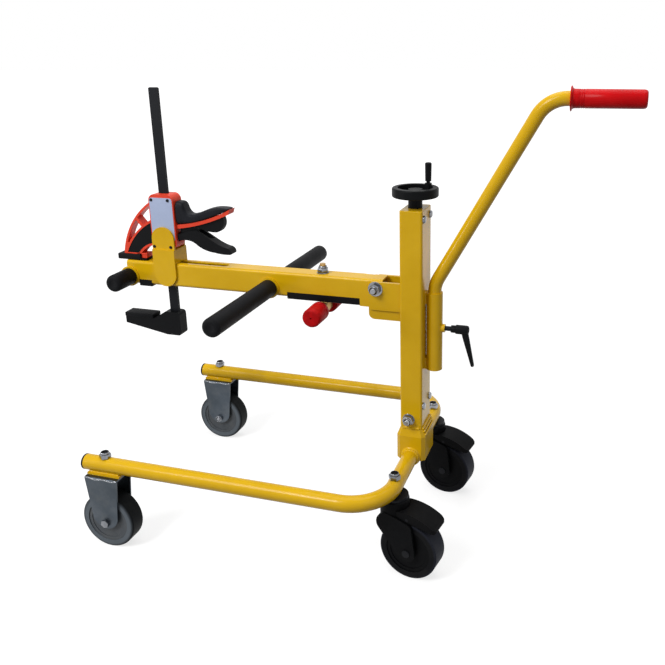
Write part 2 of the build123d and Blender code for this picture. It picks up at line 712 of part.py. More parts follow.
bearing_screw_yz = [
    (side * BEARING_SCREW_Y, z) for side in SIDES.values() for z in (FOOT_SCREW_Z, TOP_SCREW_Z)
]
rear_screw_planes = [Plane((mast_rear_x, y, z), z_dir=(1, 0, 0)) for y, z in bearing_screw_yz]

with BuildPart() as mast:
    with BuildSketch(Plane.XY.offset(MAST_BOTTOM_Z)):
        with Locations((MAST_X, 0)):
            RectangleRounded(MAST_L, MAST_W, MAST_CORNER)
            RectangleRounded(inner_l, inner_w, MAST_CORNER - MAST_WALL, mode=Mode.SUBTRACT)
        with Locations((mast_front_x, 0)):
            Rectangle(2 * MAST_WALL, MAST_SLOT, mode=Mode.SUBTRACT)
    extrude(amount=MAST_TOP_Z - CAP_T - MAST_BOTTOM_Z)
    with Locations(Plane((socket_bolt_x, 0, SOCKET_BOLT_Z), z_dir=(0, 1, 0))):
        Hole(M10_D / 2 + HOLE_FIT)
    with Locations(rear_screw_planes):
        Hole(BEARING_SCREW_D / 2 + HOLE_FIT, depth=2 * MAST_WALL)
save(mast.part, "mast")

cap_z = MAST_TOP_Z - CAP_T
cap_block_z = cap_z - CAP_BLOCK_H
foot_bearing_top_z = SPIGOT_TOP_Z + FOOT_BEARING_H

with BuildPart() as mast_cap:
    with BuildSketch(Plane.XY.offset(cap_z)):
        with Locations((MAST_X, 0)):
            RectangleRounded(MAST_L, MAST_W, MAST_CORNER)
    extrude(amount=CAP_T)
    fillet(mast_cap.faces().sort_by(Axis.Z)[-1].edges(), CAP_T / 2)
    with BuildSketch(Plane.XY.offset(cap_z)):
        with Locations((MAST_X, 0)):
            Rectangle(spigot_l, spigot_w)
    extrude(amount=-CAP_BLOCK_H)
    with Locations((MAST_X, 0, cap_z)):
        Hole(JOURNAL_D / 2 + RUN_FIT)
    with Locations(rear_screw_planes):
        Hole(BEARING_SCREW_D / 2 + SEAT_FIT, depth=BEARING_SCREW_L + BORE_END)
save(mast_cap.part, "mast_cap")

with BuildPart() as foot_bearing:
    with BuildSketch(Plane.XY.offset(SPIGOT_TOP_Z)):
        with Locations((MAST_X, 0)):
            Rectangle(spigot_l, spigot_w)
            Circle(JOURNAL_D / 2 + RUN_FIT, mode=Mode.SUBTRACT)
    extrude(amount=FOOT_BEARING_H)
    with Locations(rear_screw_planes):
        Hole(BEARING_SCREW_D / 2 + SEAT_FIT, depth=BEARING_SCREW_L + BORE_END)
save(foot_bearing.part, "foot_bearing")

bearing_screw = dome_screw(
    BEARING_SCREW_D, BEARING_SCREW_L, BEARING_SCREW_HEAD_D, BEARING_SCREW_HEAD_H
)
with BuildPart() as bearing_screws:
    with Locations(rear_screw_planes):
        add(bearing_screw)
save(bearing_screws.part, "bearing_screws")

socket_bolt_l = MAST_W + WASHER_T + M10_NUT_H + M10_TAIL
with BuildPart() as chassis_bolts:
    with Locations([(x, y, fork_web_z) for x, y in front_stations]):
        add(front_bolt)
    for side in SIDES.values():
        outer_face = side * (leg_y + fork_w / 2)
        with Locations(Location((FRONT_CASTOR_X, outer_face, axle_z), (side * 90, 0, 0))):
            add(axle_bolt)
    with Locations(Location((socket_bolt_x, MAST_W / 2, SOCKET_BOLT_Z), (90, 0, 0))):
        add(hex_bolt(M10_D, socket_bolt_l, M10_FLATS, M10_HEAD_H))
save(chassis_bolts.part, "chassis_bolts")

# All self-locking nuts and washers of the chassis.
with BuildPart() as lock_nuts:
    with Locations([(x, y, frame_top) for x, y in front_stations + rear_stations]):
        add(lock_nut(M10_D, M10_FLATS, M10_NUT_H))
    with Locations(Location((socket_bolt_x, -MAST_W / 2, SOCKET_BOLT_Z), (90, 0, 0))):
        add(washer(M10_D, M10_WASHER_D))
    nut_face = -MAST_W / 2 - WASHER_T - SEAT_FIT
    with Locations(Location((socket_bolt_x, nut_face, SOCKET_BOLT_Z), (90, 0, 0))):
        add(lock_nut(M10_D, M10_FLATS, M10_NUT_H))
    for side in SIDES.values():
        inner_face = side * (leg_y - fork_w / 2)
        with Locations(Location((FRONT_CASTOR_X, inner_face, axle_z), (side * 90, 0, 0))):
            add(axle_nut)
save(lock_nuts.part, "lock_nuts")

# Lift spindle, handwheel and its turning grip.
with BuildPart() as lift_spindle:
    for z, diameter, height in (
        (SPIGOT_TOP_Z + SPINDLE_FOOT, JOURNAL_D, SPINDLE_TOP_Z - SPIGOT_TOP_Z - SPINDLE_FOOT),
        (
            foot_bearing_top_z + SLIDE_FIT,
            SPINDLE_D,
            cap_block_z - foot_bearing_top_z - 2 * SLIDE_FIT,
        ),
    ):
        with BuildSketch(Plane.XY.offset(z)):
            with Locations((MAST_X, 0)):
                Circle(diameter / 2)
        extrude(amount=height)
save(lift_spindle.part, "lift_spindle")

pin_x = MAST_X + GRIP_PIN_R * cos(radians(GRIP_PIN_ANGLE))
pin_y = GRIP_PIN_R * sin(radians(GRIP_PIN_ANGLE))
hub_bottom_z = MAST_TOP_Z + SLIDE_FIT
rim_top_z = RIM_Z + RIM_H

with BuildPart() as handwheel:
    with BuildSketch(Plane.XY.offset(hub_bottom_z)):
        with Locations((MAST_X, 0)):
            Circle(HANDWHEEL_HUB_D / 2)
    extrude(amount=HANDWHEEL_HUB_TOP_Z - hub_bottom_z)
    with BuildSketch(Plane.XY.offset(HANDWHEEL_WEB_Z)):
        with Locations((MAST_X, 0)):
            Circle(RIM_D / 2 - RIM_ROUND)
    extrude(amount=HANDWHEEL_WEB_T)
    with BuildSketch(Plane.XY.offset(RIM_Z)):
        with Locations((MAST_X, 0)):
            Circle(RIM_D / 2)
            Circle(RIM_D / 2 - RIM_SECTION, mode=Mode.SUBTRACT)
    extrude(amount=RIM_H)
    rim_outline = handwheel.edges().filter_by(GeomType.CIRCLE).sort_by(SortBy.RADIUS)[-2:]
    fillet(rim_outline, RIM_ROUND)
    with BuildSketch(Plane.XY.offset(HANDWHEEL_WEB_Z)):
        with Locations((pin_x, pin_y)):
            Circle(GRIP_SEAT_D / 2)
    extrude(amount=rim_top_z + GRIP_SEAT_H - HANDWHEEL_WEB_Z)
    with BuildSketch(Plane.XY.offset(rim_top_z)):
        with Locations((pin_x, pin_y)):
            Circle(GRIP_PIN_D / 2)
    extrude(amount=GRIP_TOP_Z - GRIP_CAP - rim_top_z)
    with Locations((MAST_X, 0, hub_bottom_z)):
        Hole(JOURNAL_D / 2 + SEAT_FIT, depth=SPINDLE_TOP_Z - hub_bottom_z)
save(handwheel.part, "handwheel")

with BuildPart() as handwheel_grip:
    with BuildSketch(Plane((pin_x, pin_y, GRIP_BOTTOM_Z))):
        Circle(GRIP_FOOT_D / 2)
    with BuildSketch(Plane((pin_x, pin_y, GRIP_TOP_Z))):
        Circle(GRIP_HEAD_D / 2)
    loft()
    fillet(handwheel_grip.faces().sort_by(Axis.Z)[-1].edges(), GRIP_CAP)
    with Locations((pin_x, pin_y, GRIP_BOTTOM_Z)):
        Hole(GRIP_PIN_D / 2 + RUN_FIT, depth=GRIP_TOP_Z - GRIP_CAP + SLIDE_FIT - GRIP_BOTTOM_Z)
save(handwheel_grip.part, "handwheel_grip")

# Lift carriage: a slide block in the mast with a forward bracket for the arm's pivot.
block_front_x = MAST_X - spigot_l / 2
side_outer = CARRIAGE_GAP / 2 + CARRIAGE_SHEET
doubler_outer = side_outer + CARRIAGE_SHEET
carriage_bottom_z = ARM_TOP_Z - CARRIAGE_DROP
carriage_top_z = ARM_TOP_Z - CARRIAGE_TOP_DROP
doubler_bottom_z = ARM_TOP_Z - DOUBLER_DROP
pivot_z = ARM_TOP_Z - PIVOT_DROP
arm_bottom_z = ARM_TOP_Z - ARM_H
lug_bottom_z = arm_bottom_z - LUG_DROP
bracket_l = block_front_x - CARRIAGE_FRONT_X
doubler_l = mast_front_x - DOUBLER_GAP - CARRIAGE_FRONT_X

with BuildPart() as carriage:
    with BuildSketch(Plane.XZ) as bracket_side:
        with Locations((CARRIAGE_FRONT_X, carriage_bottom_z)):
            Rectangle(
                bracket_l + CARRIAGE_SHEET,
                carriage_top_z - carriage_bottom_z,
                align=(Align.MIN, Align.MIN),
            )
        low_front = bracket_side.vertices().group_by(Axis.X)[0].sort_by(Axis.Z)[0]
        fillet(low_front, CARRIAGE_CORNER)
    extrude(amount=side_outer, both=True)
    with BuildSketch(Plane.XZ) as doubler:
        with Locations((CARRIAGE_FRONT_X, doubler_bottom_z)):
            Rectangle(
                doubler_l,
                carriage_top_z - doubler_bottom_z,
                align=(Align.MIN, Align.MIN),
            )
        fillet(doubler.vertices().group_by(Axis.X)[0], DOUBLER_CORNER)
    extrude(amount=doubler_outer, both=True)
    with BuildSketch(Plane.XY.offset(carriage_bottom_z + CARRIAGE_SHEET)):
        with Locations((CARRIAGE_FRONT_X + STOP_LEDGE_T, 0)):
            Rectangle(MAST_X - CARRIAGE_FRONT_X, CARRIAGE_GAP, align=(Align.MIN, Align.CENTER))
    extrude(amount=carriage_top_z, mode=Mode.SUBTRACT)
    with BuildSketch(Plane.XY.offset(lug_bottom_z - SLIDE_FIT)):
        with Locations((CARRIAGE_FRONT_X - STOP_LEDGE_T, 0)):
            Rectangle(MAST_X - CARRIAGE_FRONT_X, CARRIAGE_GAP, align=(Align.MIN, Align.CENTER))
    extrude(amount=carriage_top_z, mode=Mode.SUBTRACT)
    with BuildSketch(Plane.XY.offset(carriage_bottom_z)):
        with Locations((MAST_X, 0)):
            Rectangle(spigot_l, spigot_w)
    extrude(amount=carriage_top_z - carriage_bottom_z)
    with Locations((MAST_X, 0, carriage_bottom_z)):
        Hole(LIFT_NUT_D / 2 + SEAT_FIT, depth=LIFT_NUT_H + SLIDE_FIT)
    with Locations((MAST_X, 0, carriage_top_z)):
        Hole(SPINDLE_D / 2 + SLIDE_FIT, depth=carriage_top_z - carriage_bottom_z)
    with Locations(Plane((PIVOT_X, 0, pivot_z), z_dir=(0, 1, 0))):
        Hole(M10_D / 2 + SEAT_FIT)
save(carriage.part, "carriage")

with BuildPart() as lift_nut:
    with BuildSketch(Plane.XY.offset(carriage_bottom_z)):
        with Locations((MAST_X, 0)):
            Circle(LIFT_NUT_D / 2)
    extrude(amount=LIFT_NUT_H)
    with BuildSketch(Plane.XY.offset(carriage_bottom_z)):
        with Locations((MAST_X, 0)):
            Circle(LIFT_NUT_FLANGE_D / 2)
    extrude(amount=-LIFT_NUT_FLANGE_T)
    with Locations((MAST_X, 0, carriage_bottom_z)):
        Hole(SPINDLE_D / 2 + RUN_FIT)
save(lift_nut.part, "lift_nut")

pivot_bolt_l = 2 * doubler_outer + WASHER_T + M10_NUT_H + M10_TAIL
with BuildPart() as pivot_bolt:
    with Locations(Location((PIVOT_X, doubler_outer, pivot_z), (90, 0, 0))):
        add(hex_bolt(M10_D, pivot_bolt_l, M10_FLATS, M10_HEAD_H))
save(pivot_bolt.part, "pivot_bolt")

with BuildPart() as pivot_nut:
    with Locations(Location((PIVOT_X, -doubler_outer, pivot_z), (90, 0, 0))):
        add(washer(M10_D, PIVOT_WASHER_D))
    nut_face = -doubler_outer - WASHER_T - SEAT_FIT
    with Locations(Location((PIVOT_X, nut_face, pivot_z), (90, 0, 0))):
        add(lock_nut(M10_D, M10_FLATS, M10_NUT_H))
save(pivot_nut.part, "pivot_nut")

# Lifting arm: a rectangular tube with rear lugs, weld rings, pad notches and the clamp slot.
arm_mid_z = ARM_TOP_Z - ARM_H / 2
rod_z = arm_bottom_z + ROD_RISE
pad_bottom_z = arm_bottom_z - PAD_SHOWING
pad_top_z = pad_bottom_z + PAD_DEPTH
rod_xs = (FRONT_ROD_X, MIDDLE_ROD_X)
pad_spans = ((FRONT_PAD_FRONT_X, FRONT_PAD_REAR_X), (REAR_PAD_FRONT_X, REAR_PAD_REAR_X))
slot_l = SLOT_REAR_X - SLOT_FRONT_X
slot_mid_x = (SLOT_REAR_X + SLOT_FRONT_X) / 2

with BuildPart() as arm:
    with BuildSketch(Plane.YZ.offset(ARM_FRONT_X)):
        with Locations((0, arm_mid_z)):
            RectangleRounded(ARM_W, ARM_H, ARM_CORNER)
    extrude(amount=ARM_REAR_X - ARM_FRONT_X)
    with BuildSketch(Plane.XZ):
        with Locations((LUG_FRONT_X, lug_bottom_z)):
            Rectangle(
                ARM_REAR_X - LUG_FRONT_X,
                pivot_z - lug_bottom_z,
                align=(Align.MIN, Align.MIN),
            )
    extrude(amount=ARM_W / 2, both=True)
    with BuildSketch(Plane.YZ.offset(ARM_FRONT_X)):
        with Locations((0, arm_mid_z)):
            Rectangle(ARM_W - 2 * ARM_WALL, ARM_H - 2 * ARM_WALL)
    extrude(amount=ARM_REAR_X - ARM_FRONT_X, mode=Mode.SUBTRACT)
    with BuildSketch(Plane.XY.offset(arm_mid_z)):
        with Locations((LUG_FRONT_X + ARM_WALL, 0)):
            Rectangle(ARM_REAR_X, ARM_W - 2 * ARM_WALL, align=(Align.MIN, Align.CENTER))
    extrude(amount=-ARM_H, mode=Mode.SUBTRACT)
    fillet(
        arm.edges().filter_by(Axis.Y).group_by(Axis.X)[-1].group_by(Axis.Z)[0],
        LUG_ROUND,
    )
    for x in rod_xs:
        with BuildSketch(Plane.XZ):
            with Locations((x, rod_z)):
                Circle(ROD_RING_D / 2)
        extrude(amount=ARM_W / 2 + ROD_RING_T, both=True)
        with BuildSketch(Plane.XZ):
            with Locations((x, rod_z)):
                Circle(ROD_RING_D / 2 + SLIDE_FIT)
        extrude(amount=ARM_W / 2 - ARM_WALL, both=True, mode=Mode.SUBTRACT)
    with BuildSketch(Plane.YZ.offset(ARM_FRONT_X)):
        with Locations((0, arm_mid_z)):
            Rectangle(ARM_W - 2 * ARM_WALL, ARM_H)
            Rectangle(ARM_W - 2 * ARM_WALL, ARM_H - 2 * ARM_WALL, mode=Mode.SUBTRACT)
    extrude(amount=LUG_FRONT_X + ARM_WALL - ARM_FRONT_X)
    for front_x, rear_x in pad_spans:
        with BuildSketch(Plane.XY.offset(lug_bottom_z - LUG_DROP)):
            with Locations((front_x, 0)):
                Rectangle(rear_x - front_x, 2 * ARM_W, align=(Align.MIN, Align.CENTER))
        extrude(amount=pad_top_z - lug_bottom_z + LUG_DROP, mode=Mode.SUBTRACT)
    with BuildSketch(Plane.XY.offset(arm_mid_z)):
        with Locations((slot_mid_x, 0)):
            SlotOverall(slot_l, SLOT_W)
    extrude(amount=ARM_H, both=True, mode=Mode.SUBTRACT)
    with Locations([Plane((x, 0, rod_z), z_dir=(0, 1, 0)) for x in rod_xs]):
        Hole(ROD_D / 2 + SEAT_FIT)
    with Locations(Plane((PIVOT_X, 0, pivot_z), z_dir=(0, 1, 0))):
        Hole(M10_D / 2 + RUN_FIT)
    with Locations((STOP_X, 0, ARM_TOP_Z)):
        Hole(M10_D / 2 + HOLE_FIT)
save(arm.part, "arm")

with BuildPart() as arm_pads:
    for front_x, rear_x in pad_spans:
        with BuildSketch(Plane.XY.offset(pad_bottom_z)):
            with Locations((front_x, 0)):
                Rectangle(rear_x - front_x, ARM_W, align=(Align.MIN, Align.CENTER))
        extrude(amount=PAD_DEPTH)
    chamfer(arm_pads.faces().group_by(Axis.Z)[0].edges(), PAD_CHAMFER)
    with Locations((STOP_X, 0, pad_bottom_z)):
        Hole(M10_D / 2 + HOLE_FIT)
save(arm_pads.part, "arm_pads")

rod_sizes = ((FRONT_ROD_X, FRONT_ROD_REACH), (MIDDLE_ROD_X, MIDDLE_ROD_REACH))
with BuildPart() as cross_rods:
    for x, reach in rod_sizes:
        with BuildSketch(Plane.XZ):
            with Locations((x, rod_z)):
                Circle(ROD_D / 2)
        extrude(amount=reach - SLEEVE_END - SLIDE_FIT, both=True)
save(cross_rods.part, "cross_rods")

sleeve_start = ARM_W / 2 + ROD_RING_T
with BuildPart() as rod_sleeves:
    for x, reach in rod_sizes:
        for side in SIDES.values():
            inner_end = Plane((x, side * sleeve_start, rod_z), z_dir=(0, side, 0))
            with BuildSketch(inner_end):
                Circle(SLEEVE_RUBBER_D / 2)
            extrude(amount=reach - sleeve_start)
    rims = rod_sleeves.edges().filter_by(GeomType.CIRCLE)
    fillet([rim for rim in rims if abs(rim.center().Y) > sleeve_start + SLEEVE_END], SLEEVE_ROUND)
    for x, reach in rod_sizes:
        for side in SIDES.values():
            with Locations(Plane((x, side * sleeve_start, rod_z), z_dir=(0, side, 0))):
                Hole(ROD_D / 2 + SEAT_FIT, depth=reach - SLEEVE_END - sleeve_start)
save(rod_sleeves.part, "rod_sleeves")

# Stop under the arm: a tee hung from a vertical stud with a soft cap on each end.
stop_z = ARM_TOP_Z - STOP_DROP
cap_outer = STOP_CAP_INNER + STOP_CAP_L
with BuildPart() as stop_tee:
    with BuildSketch(Plane.XZ):
        with Locations((STOP_X, stop_z)):
            Circle(STOP_ROD_D / 2)
    extrude(amount=cap_outer - STOP_CAP_END - SEAT_FIT, both=True)
    with BuildSketch(Plane.XZ):
        with Locations((STOP_X, stop_z)):
            Circle(STOP_NECK_D / 2)
    extrude(amount=STOP_CAP_INNER, both=True)
    with BuildSketch(Plane.XY.offset(stop_z)):
        with Locations((STOP_X, 0)):
            Circle(M10_D / 2)
    extrude(amount=ARM_TOP_Z + WASHER_T + M10_NUT_H + M10_TAIL - stop_z)
save(stop_tee.part, "stop_tee")

with BuildPart() as stop_caps:
    for side in SIDES.values():
        with BuildSketch(Plane((STOP_X, side * STOP_CAP_INNER, stop_z), z_dir=(0, side, 0))):
            Circle(STOP_CAP_D / 2)
        extrude(amount=STOP_CAP_L)
    fillet(stop_caps.edges().filter_by(GeomType.CIRCLE), STOP_CAP_ROUND)
    for side in SIDES.values():
        with Locations(Plane((STOP_X, side * STOP_CAP_INNER, stop_z), z_dir=(0, side, 0))):
            Hole(STOP_ROD_D / 2 + SEAT_FIT, depth=STOP_CAP_L - STOP_CAP_END)
save(stop_caps.part, "stop_caps")

with BuildPart() as stop_nut:
    with Locations((STOP_X, 0, ARM_TOP_Z)):
        add(washer(M10_D, M10_WASHER_D))
    with Locations((STOP_X, 0, ARM_TOP_Z + WASHER_T + SEAT_FIT)):
        add(lock_nut(M10_D, M10_FLATS, M10_NUT_H))
save(stop_nut.part, "stop_nut")

# Clamp saddle: side plates astride the arm, a table for the clamp body and a rear wall.
saddle_front_x = BAR_X - SADDLE_FRONT
saddle_l = SADDLE_FRONT + SADDLE_REAR
saddle_mid_x = saddle_front_x + saddle_l / 2
saddle_inner = ARM_W / 2 + SADDLE_SIDE_GAP
saddle_outer = saddle_inner + SADDLE_SHEET
cheek_inner = BODY_W / 2 + LABEL_T + SEAT_FIT
saddle_bottom_z = ARM_TOP_Z - SADDLE_DROP
saddle_h = SADDLE_DROP + SADDLE_RISE
table_z = ARM_TOP_Z + SADDLE_TABLE
wall_bottom_z = ARM_TOP_Z + SLIDE_FIT
body_front_x = BAR_X - BODY_FRONT
body_rear_x = BAR_X + BODY_REAR
body_top_z = ARM_TOP_Z + BODY_RISE
screw_xs = (BAR_X - SCREW_FRONT, BAR_X + SCREW_REAR)
low_screw_z = ARM_TOP_Z + LOW_SCREW_RISE
high_screw_z = ARM_TOP_Z + HIGH_SCREW_RISE

with BuildPart() as clamp_saddle:
    for half, inner in ((-1, saddle_inner), (1, cheek_inner)):
        with BuildSketch(Plane.XZ):
            with Locations((saddle_mid_x, saddle_bottom_z + saddle_h / 2)):
                SlotOverall(saddle_h, saddle_l, rotation=90)
            with Locations((saddle_mid_x, table_z - SADDLE_SHEET / 2)):
                Rectangle(
                    2 * saddle_l,
                    saddle_h,
                    align=(Align.CENTER, Align.MAX if half > 0 else Align.MIN),
                    mode=Mode.SUBTRACT,
                )
        extrude(amount=inner + SADDLE_SHEET, both=True)
        with BuildSketch(Plane.XZ):
            with Locations((saddle_mid_x, table_z - SADDLE_SHEET / 2)):
                Rectangle(
                    2 * saddle_l,
                    saddle_h,
                    align=(Align.CENTER, Align.MIN if half > 0 else Align.MAX),
                )
        extrude(amount=inner, both=True, mode=Mode.SUBTRACT)
    with BuildSketch(Plane.XY.offset(table_z)):
        with Locations((saddle_mid_x, 0)):
            Rectangle(saddle_l, 2 * saddle_outer)
    extrude(amount=-SADDLE_SHEET)
    with BuildSketch(Plane.XY.offset(table_z)):
        with Locations((saddle_front_x + saddle_l, 0)):
            Rectangle(SADDLE_SHEET, 2 * saddle_outer, align=(Align.MAX, Align.CENTER))
    extrude(amount=wall_bottom_z - table_z)
    with BuildSketch(Plane.XY.offset(table_z)):
        with Locations((BAR_X, 0)):
            Rectangle(BAR_L + 2 * BAR_GAP, BAR_T + 2 * BAR_GAP)
    extrude(amount=-2 * SADDLE_SHEET, mode=Mode.SUBTRACT)
    with Locations([Plane((x, 0, low_screw_z), z_dir=(0, 1, 0)) for x in screw_xs]):
        Hole(CLAMP_SCREW_D / 2 + SEAT_FIT)
save(clamp_saddle.part, "clamp_saddle")


def jaw_point(ahead, rise):
    """Point on the jaw's side view, ahead of the clamp body and above the arm."""
    return (body_front_x - ahead, ARM_TOP_Z + rise)


def grip_point(behind, rise):
    """Point on the grip's side view, behind the clamp body and above the arm."""
    return (body_rear_x + behind, ARM_TOP_Z + rise)


def jaw_curve(outline):
    """Points of an outline on the jaw's side view."""
    return [jaw_point(ahead, rise) for ahead, rise in outline]


def grip_curve(outline):
    """Points of an outline on the grip's side view."""
    return [grip_point(behind, rise) for behind, rise in outline]


def arc_band(low, high):
    """Close two three-point arcs, given from the body outwards, into an outline."""
    ThreePointArc(*low)
    Line(low[2], high[2])
    ThreePointArc(high[2], high[1], high[0])
    Line(high[0], low[0])


insert_crown = jaw_curve(INSERT_CROWN)
insert_throat = jaw_curve(INSERT_THROAT)
trim_low = grip_curve(TRIM_LOW)
trim_high = grip_curve(TRIM_HIGH)
groove_rear_x = body_rear_x + GROOVE_REACH

with BuildPart() as clamp_body:
    with BuildSketch(Plane.XZ) as body_side:
        with Locations((body_front_x, table_z)):
            Rectangle(
                body_rear_x - body_front_x,
                body_top_z - table_z,
                align=(Align.MIN, Align.MIN),
            )
        fillet(body_side.vertices().group_by(Axis.Z)[-1], BODY_ROUND)
    extrude(amount=BODY_W / 2, both=True)
    with BuildSketch(Plane.XZ):
        with BuildLine():
            arc_band(jaw_curve(JAW_THROAT), jaw_curve(JAW_CROWN))
        make_face()
        with BuildLine():
            arc_band(jaw_curve(WINDOW_SILL), jaw_curve(WINDOW_CROWN))
        make_face(mode=Mode.SUBTRACT)
        with Locations(jaw_point(*STRUT_MID)):
            Rectangle(STRUT_L, STRUT_W, rotation=STRUT_TILT)
        with BuildLine():
            arc_band(insert_throat, insert_crown)
        make_face(mode=Mode.SUBTRACT)
    extrude(amount=JAW_W / 2, both=True)
    with BuildSketch(Plane.XZ):
        with BuildLine():
            arc_band(trim_low, trim_high)
        make_face()
    extrude(amount=TRIM_W / 2, both=True)
    with BuildSketch(Plane.XZ):
        with Locations((body_rear_x, ARM_TOP_Z)):
            Rectangle(GROOVE_REACH, BODY_RISE, align=(Align.MIN, Align.MIN))
    extrude(amount=GROOVE_W / 2, both=True, mode=Mode.SUBTRACT)
    with BuildSketch(Plane.XY.offset(body_top_z)):
        with Locations((BAR_X, 0)):
            Rectangle(BAR_L + 2 * BAR_GAP, BAR_T + 2 * BAR_GAP)
    extrude(amount=-2 * BODY_RISE, mode=Mode.SUBTRACT)
    with BuildSketch(Plane.XZ):
        with Locations((body_rear_x, ARM_TOP_Z + TRIGGER_RISE)):
            Rectangle(TRIGGER_POCKET, TRIGGER_POCKET_H, align=(Align.MAX, Align.CENTER))
    extrude(amount=TRIGGER_ROOT_W / 2 + SLIDE_FIT, both=True, mode=Mode.SUBTRACT)
    with BuildSketch(Plane.XY.offset(ARM_TOP_Z + LOCK_PLATE_RISE)):
        with Locations((BAR_X, 0)):
            Rectangle(LOCK_PLATE_L + 2 * LOCK_CAVITY_GAP, LOCK_PLATE_W + 2 * LOCK_CAVITY_GAP)
    extrude(amount=LOCK_CAVITY_H, mode=Mode.SUBTRACT)
    with Locations(
        [Plane((x, 0, z), z_dir=(0, 1, 0)) for x in screw_xs for z in (low_screw_z, high_screw_z)]
    ):
        Hole(CLAMP_SCREW_D / 2 + SEAT_FIT)
    with Locations(
        Plane((body_rear_x + TRIGGER_DX, 0, ARM_TOP_Z + TRIGGER_RISE), z_dir=(0, 1, 0)),
    ):
        Hole(TRIGGER_PIN_D / 2 + SEAT_FIT)
save(clamp_body.part, "clamp_body")

with BuildPart() as clamp_grip:
    with BuildSketch(Plane.XZ):
        with BuildLine():
            horn = grip_curve(GRIP_HORN)
            horn_root = grip_point(0, GRIP_HORN_RISE)
            Line(horn_root, horn[0])
            ThreePointArc(*horn)
            Spline(horn[2], *grip_curve(GRIP_SADDLE), *grip_curve(GRIP_BACK), trim_high[2])
            ThreePointArc(trim_high[2], trim_high[1], trim_high[0])
            Line(trim_high[0], horn_root)
        make_face()
    extrude(amount=GRIP_W / 2, both=True)
    with BuildSketch(Plane.XZ):
        with BuildLine():
            arc_band(trim_low, grip_curve(GROOVE_TOP))
        make_face()
        with Locations((groove_rear_x, ARM_TOP_Z)):
            Rectangle(BODY_RISE, BODY_RISE, align=(Align.MIN, Align.MIN), mode=Mode.SUBTRACT)
    extrude(amount=GROOVE_W / 2, both=True, mode=Mode.SUBTRACT)
    with Locations(
        Plane((body_rear_x + RELEASE_DX, 0, ARM_TOP_Z + RELEASE_RISE), z_dir=(0, 1, 0)),
    ):
        Hole(RELEASE_PIN_D / 2 + SEAT_FIT, depth=TRIM_W / 2 + SLIDE_FIT)
save(clamp_grip.part, "clamp_grip")

with BuildPart() as jaw_insert:
    with BuildSketch(Plane.XZ):
        with BuildLine():
            arc_band(insert_throat, insert_crown)
        make_face()
        offset(amount=-SEAT_FIT)
    extrude(amount=JAW_INSERT_W / 2, both=True)
save(jaw_insert.part, "jaw_insert")

with BuildPart() as jaw_pad:
    with BuildSketch(Plane.XY.offset(wall_bottom_z)):
        with Locations((body_front_x - JAW_PAD_HEEL, 0)):
            Rectangle(JAW_PAD_TIP - JAW_PAD_HEEL, JAW_PAD_W, align=(Align.MAX, Align.CENTER))
    extrude(amount=JAW_PAD_TOP - SLIDE_FIT)
    fillet(jaw_pad.edges().filter_by(Axis.Z), JAW_PAD_ROUND)
save(jaw_pad.part, "jaw_pad")

with BuildPart() as label_plate:
    with BuildSketch(Plane((0, -BODY_W / 2, 0), x_dir=(1, 0, 0), z_dir=(0, -1, 0))):
        with Locations(((body_front_x + body_rear_x) / 2, ARM_TOP_Z + LABEL_BOTTOM)):
            Rectangle(LABEL_L, LABEL_TOP - LABEL_BOTTOM, align=(Align.CENTER, Align.MIN))
    extrude(amount=LABEL_T)
    fillet(label_plate.edges().filter_by(Axis.Y), LABEL_ROUND)
    with Locations([Plane((x, 0, high_screw_z), z_dir=(0, 1, 0)) for x in screw_xs]):
        Hole(CLAMP_SCREW_D / 2 + SEAT_FIT)
save(label_plate.part, "label_plate")

clamp_screw = dome_screw(
    CLAMP_SCREW_D, CLAMP_SCREW_L, CLAMP_SCREW_HEAD_D, CLAMP_SCREW_HEAD_H
)
with BuildPart() as clamp_screws:
    for x in screw_xs:
        for side in SIDES.values():
            cheek_y = cheek_inner + SADDLE_SHEET
            label_y = BODY_W / 2 + (LABEL_T if side < 0 else 0)
            for seat_y, z in ((cheek_y, low_screw_z), (label_y, high_screw_z)):
                with Locations(Plane((x, side * seat_y, z), z_dir=(0, side, 0))):
                    add(clamp_screw)
save(clamp_screws.part, "clamp_screws")

with BuildPart() as lock_plate:
    with BuildSketch(Plane.XY.offset(ARM_TOP_Z + LOCK_PLATE_RISE)):
        with Locations((BAR_X, 0)):
            Rectangle(LOCK_PLATE_L, LOCK_PLATE_W)
            Rectangle(BAR_L + 2 * BAR_GAP, BAR_T + 2 * BAR_GAP, mode=Mode.SUBTRACT)
    extrude(amount=LOCK_PLATE_T)
save(lock_plate.part, "lock_plate")

with BuildPart() as clamp_pins:
    for behind, rise, diameter, width in (
        (TRIGGER_DX, TRIGGER_RISE, TRIGGER_PIN_D, BODY_W),
        (RELEASE_DX, RELEASE_RISE, RELEASE_PIN_D, TRIM_W),
    ):
        with BuildSketch(Plane.XZ):
            with Locations(grip_point(behind, rise)):
                Circle(diameter / 2)
        extrude(amount=width / 2, both=True)
save(clamp_pins.part, "clamp_pins")

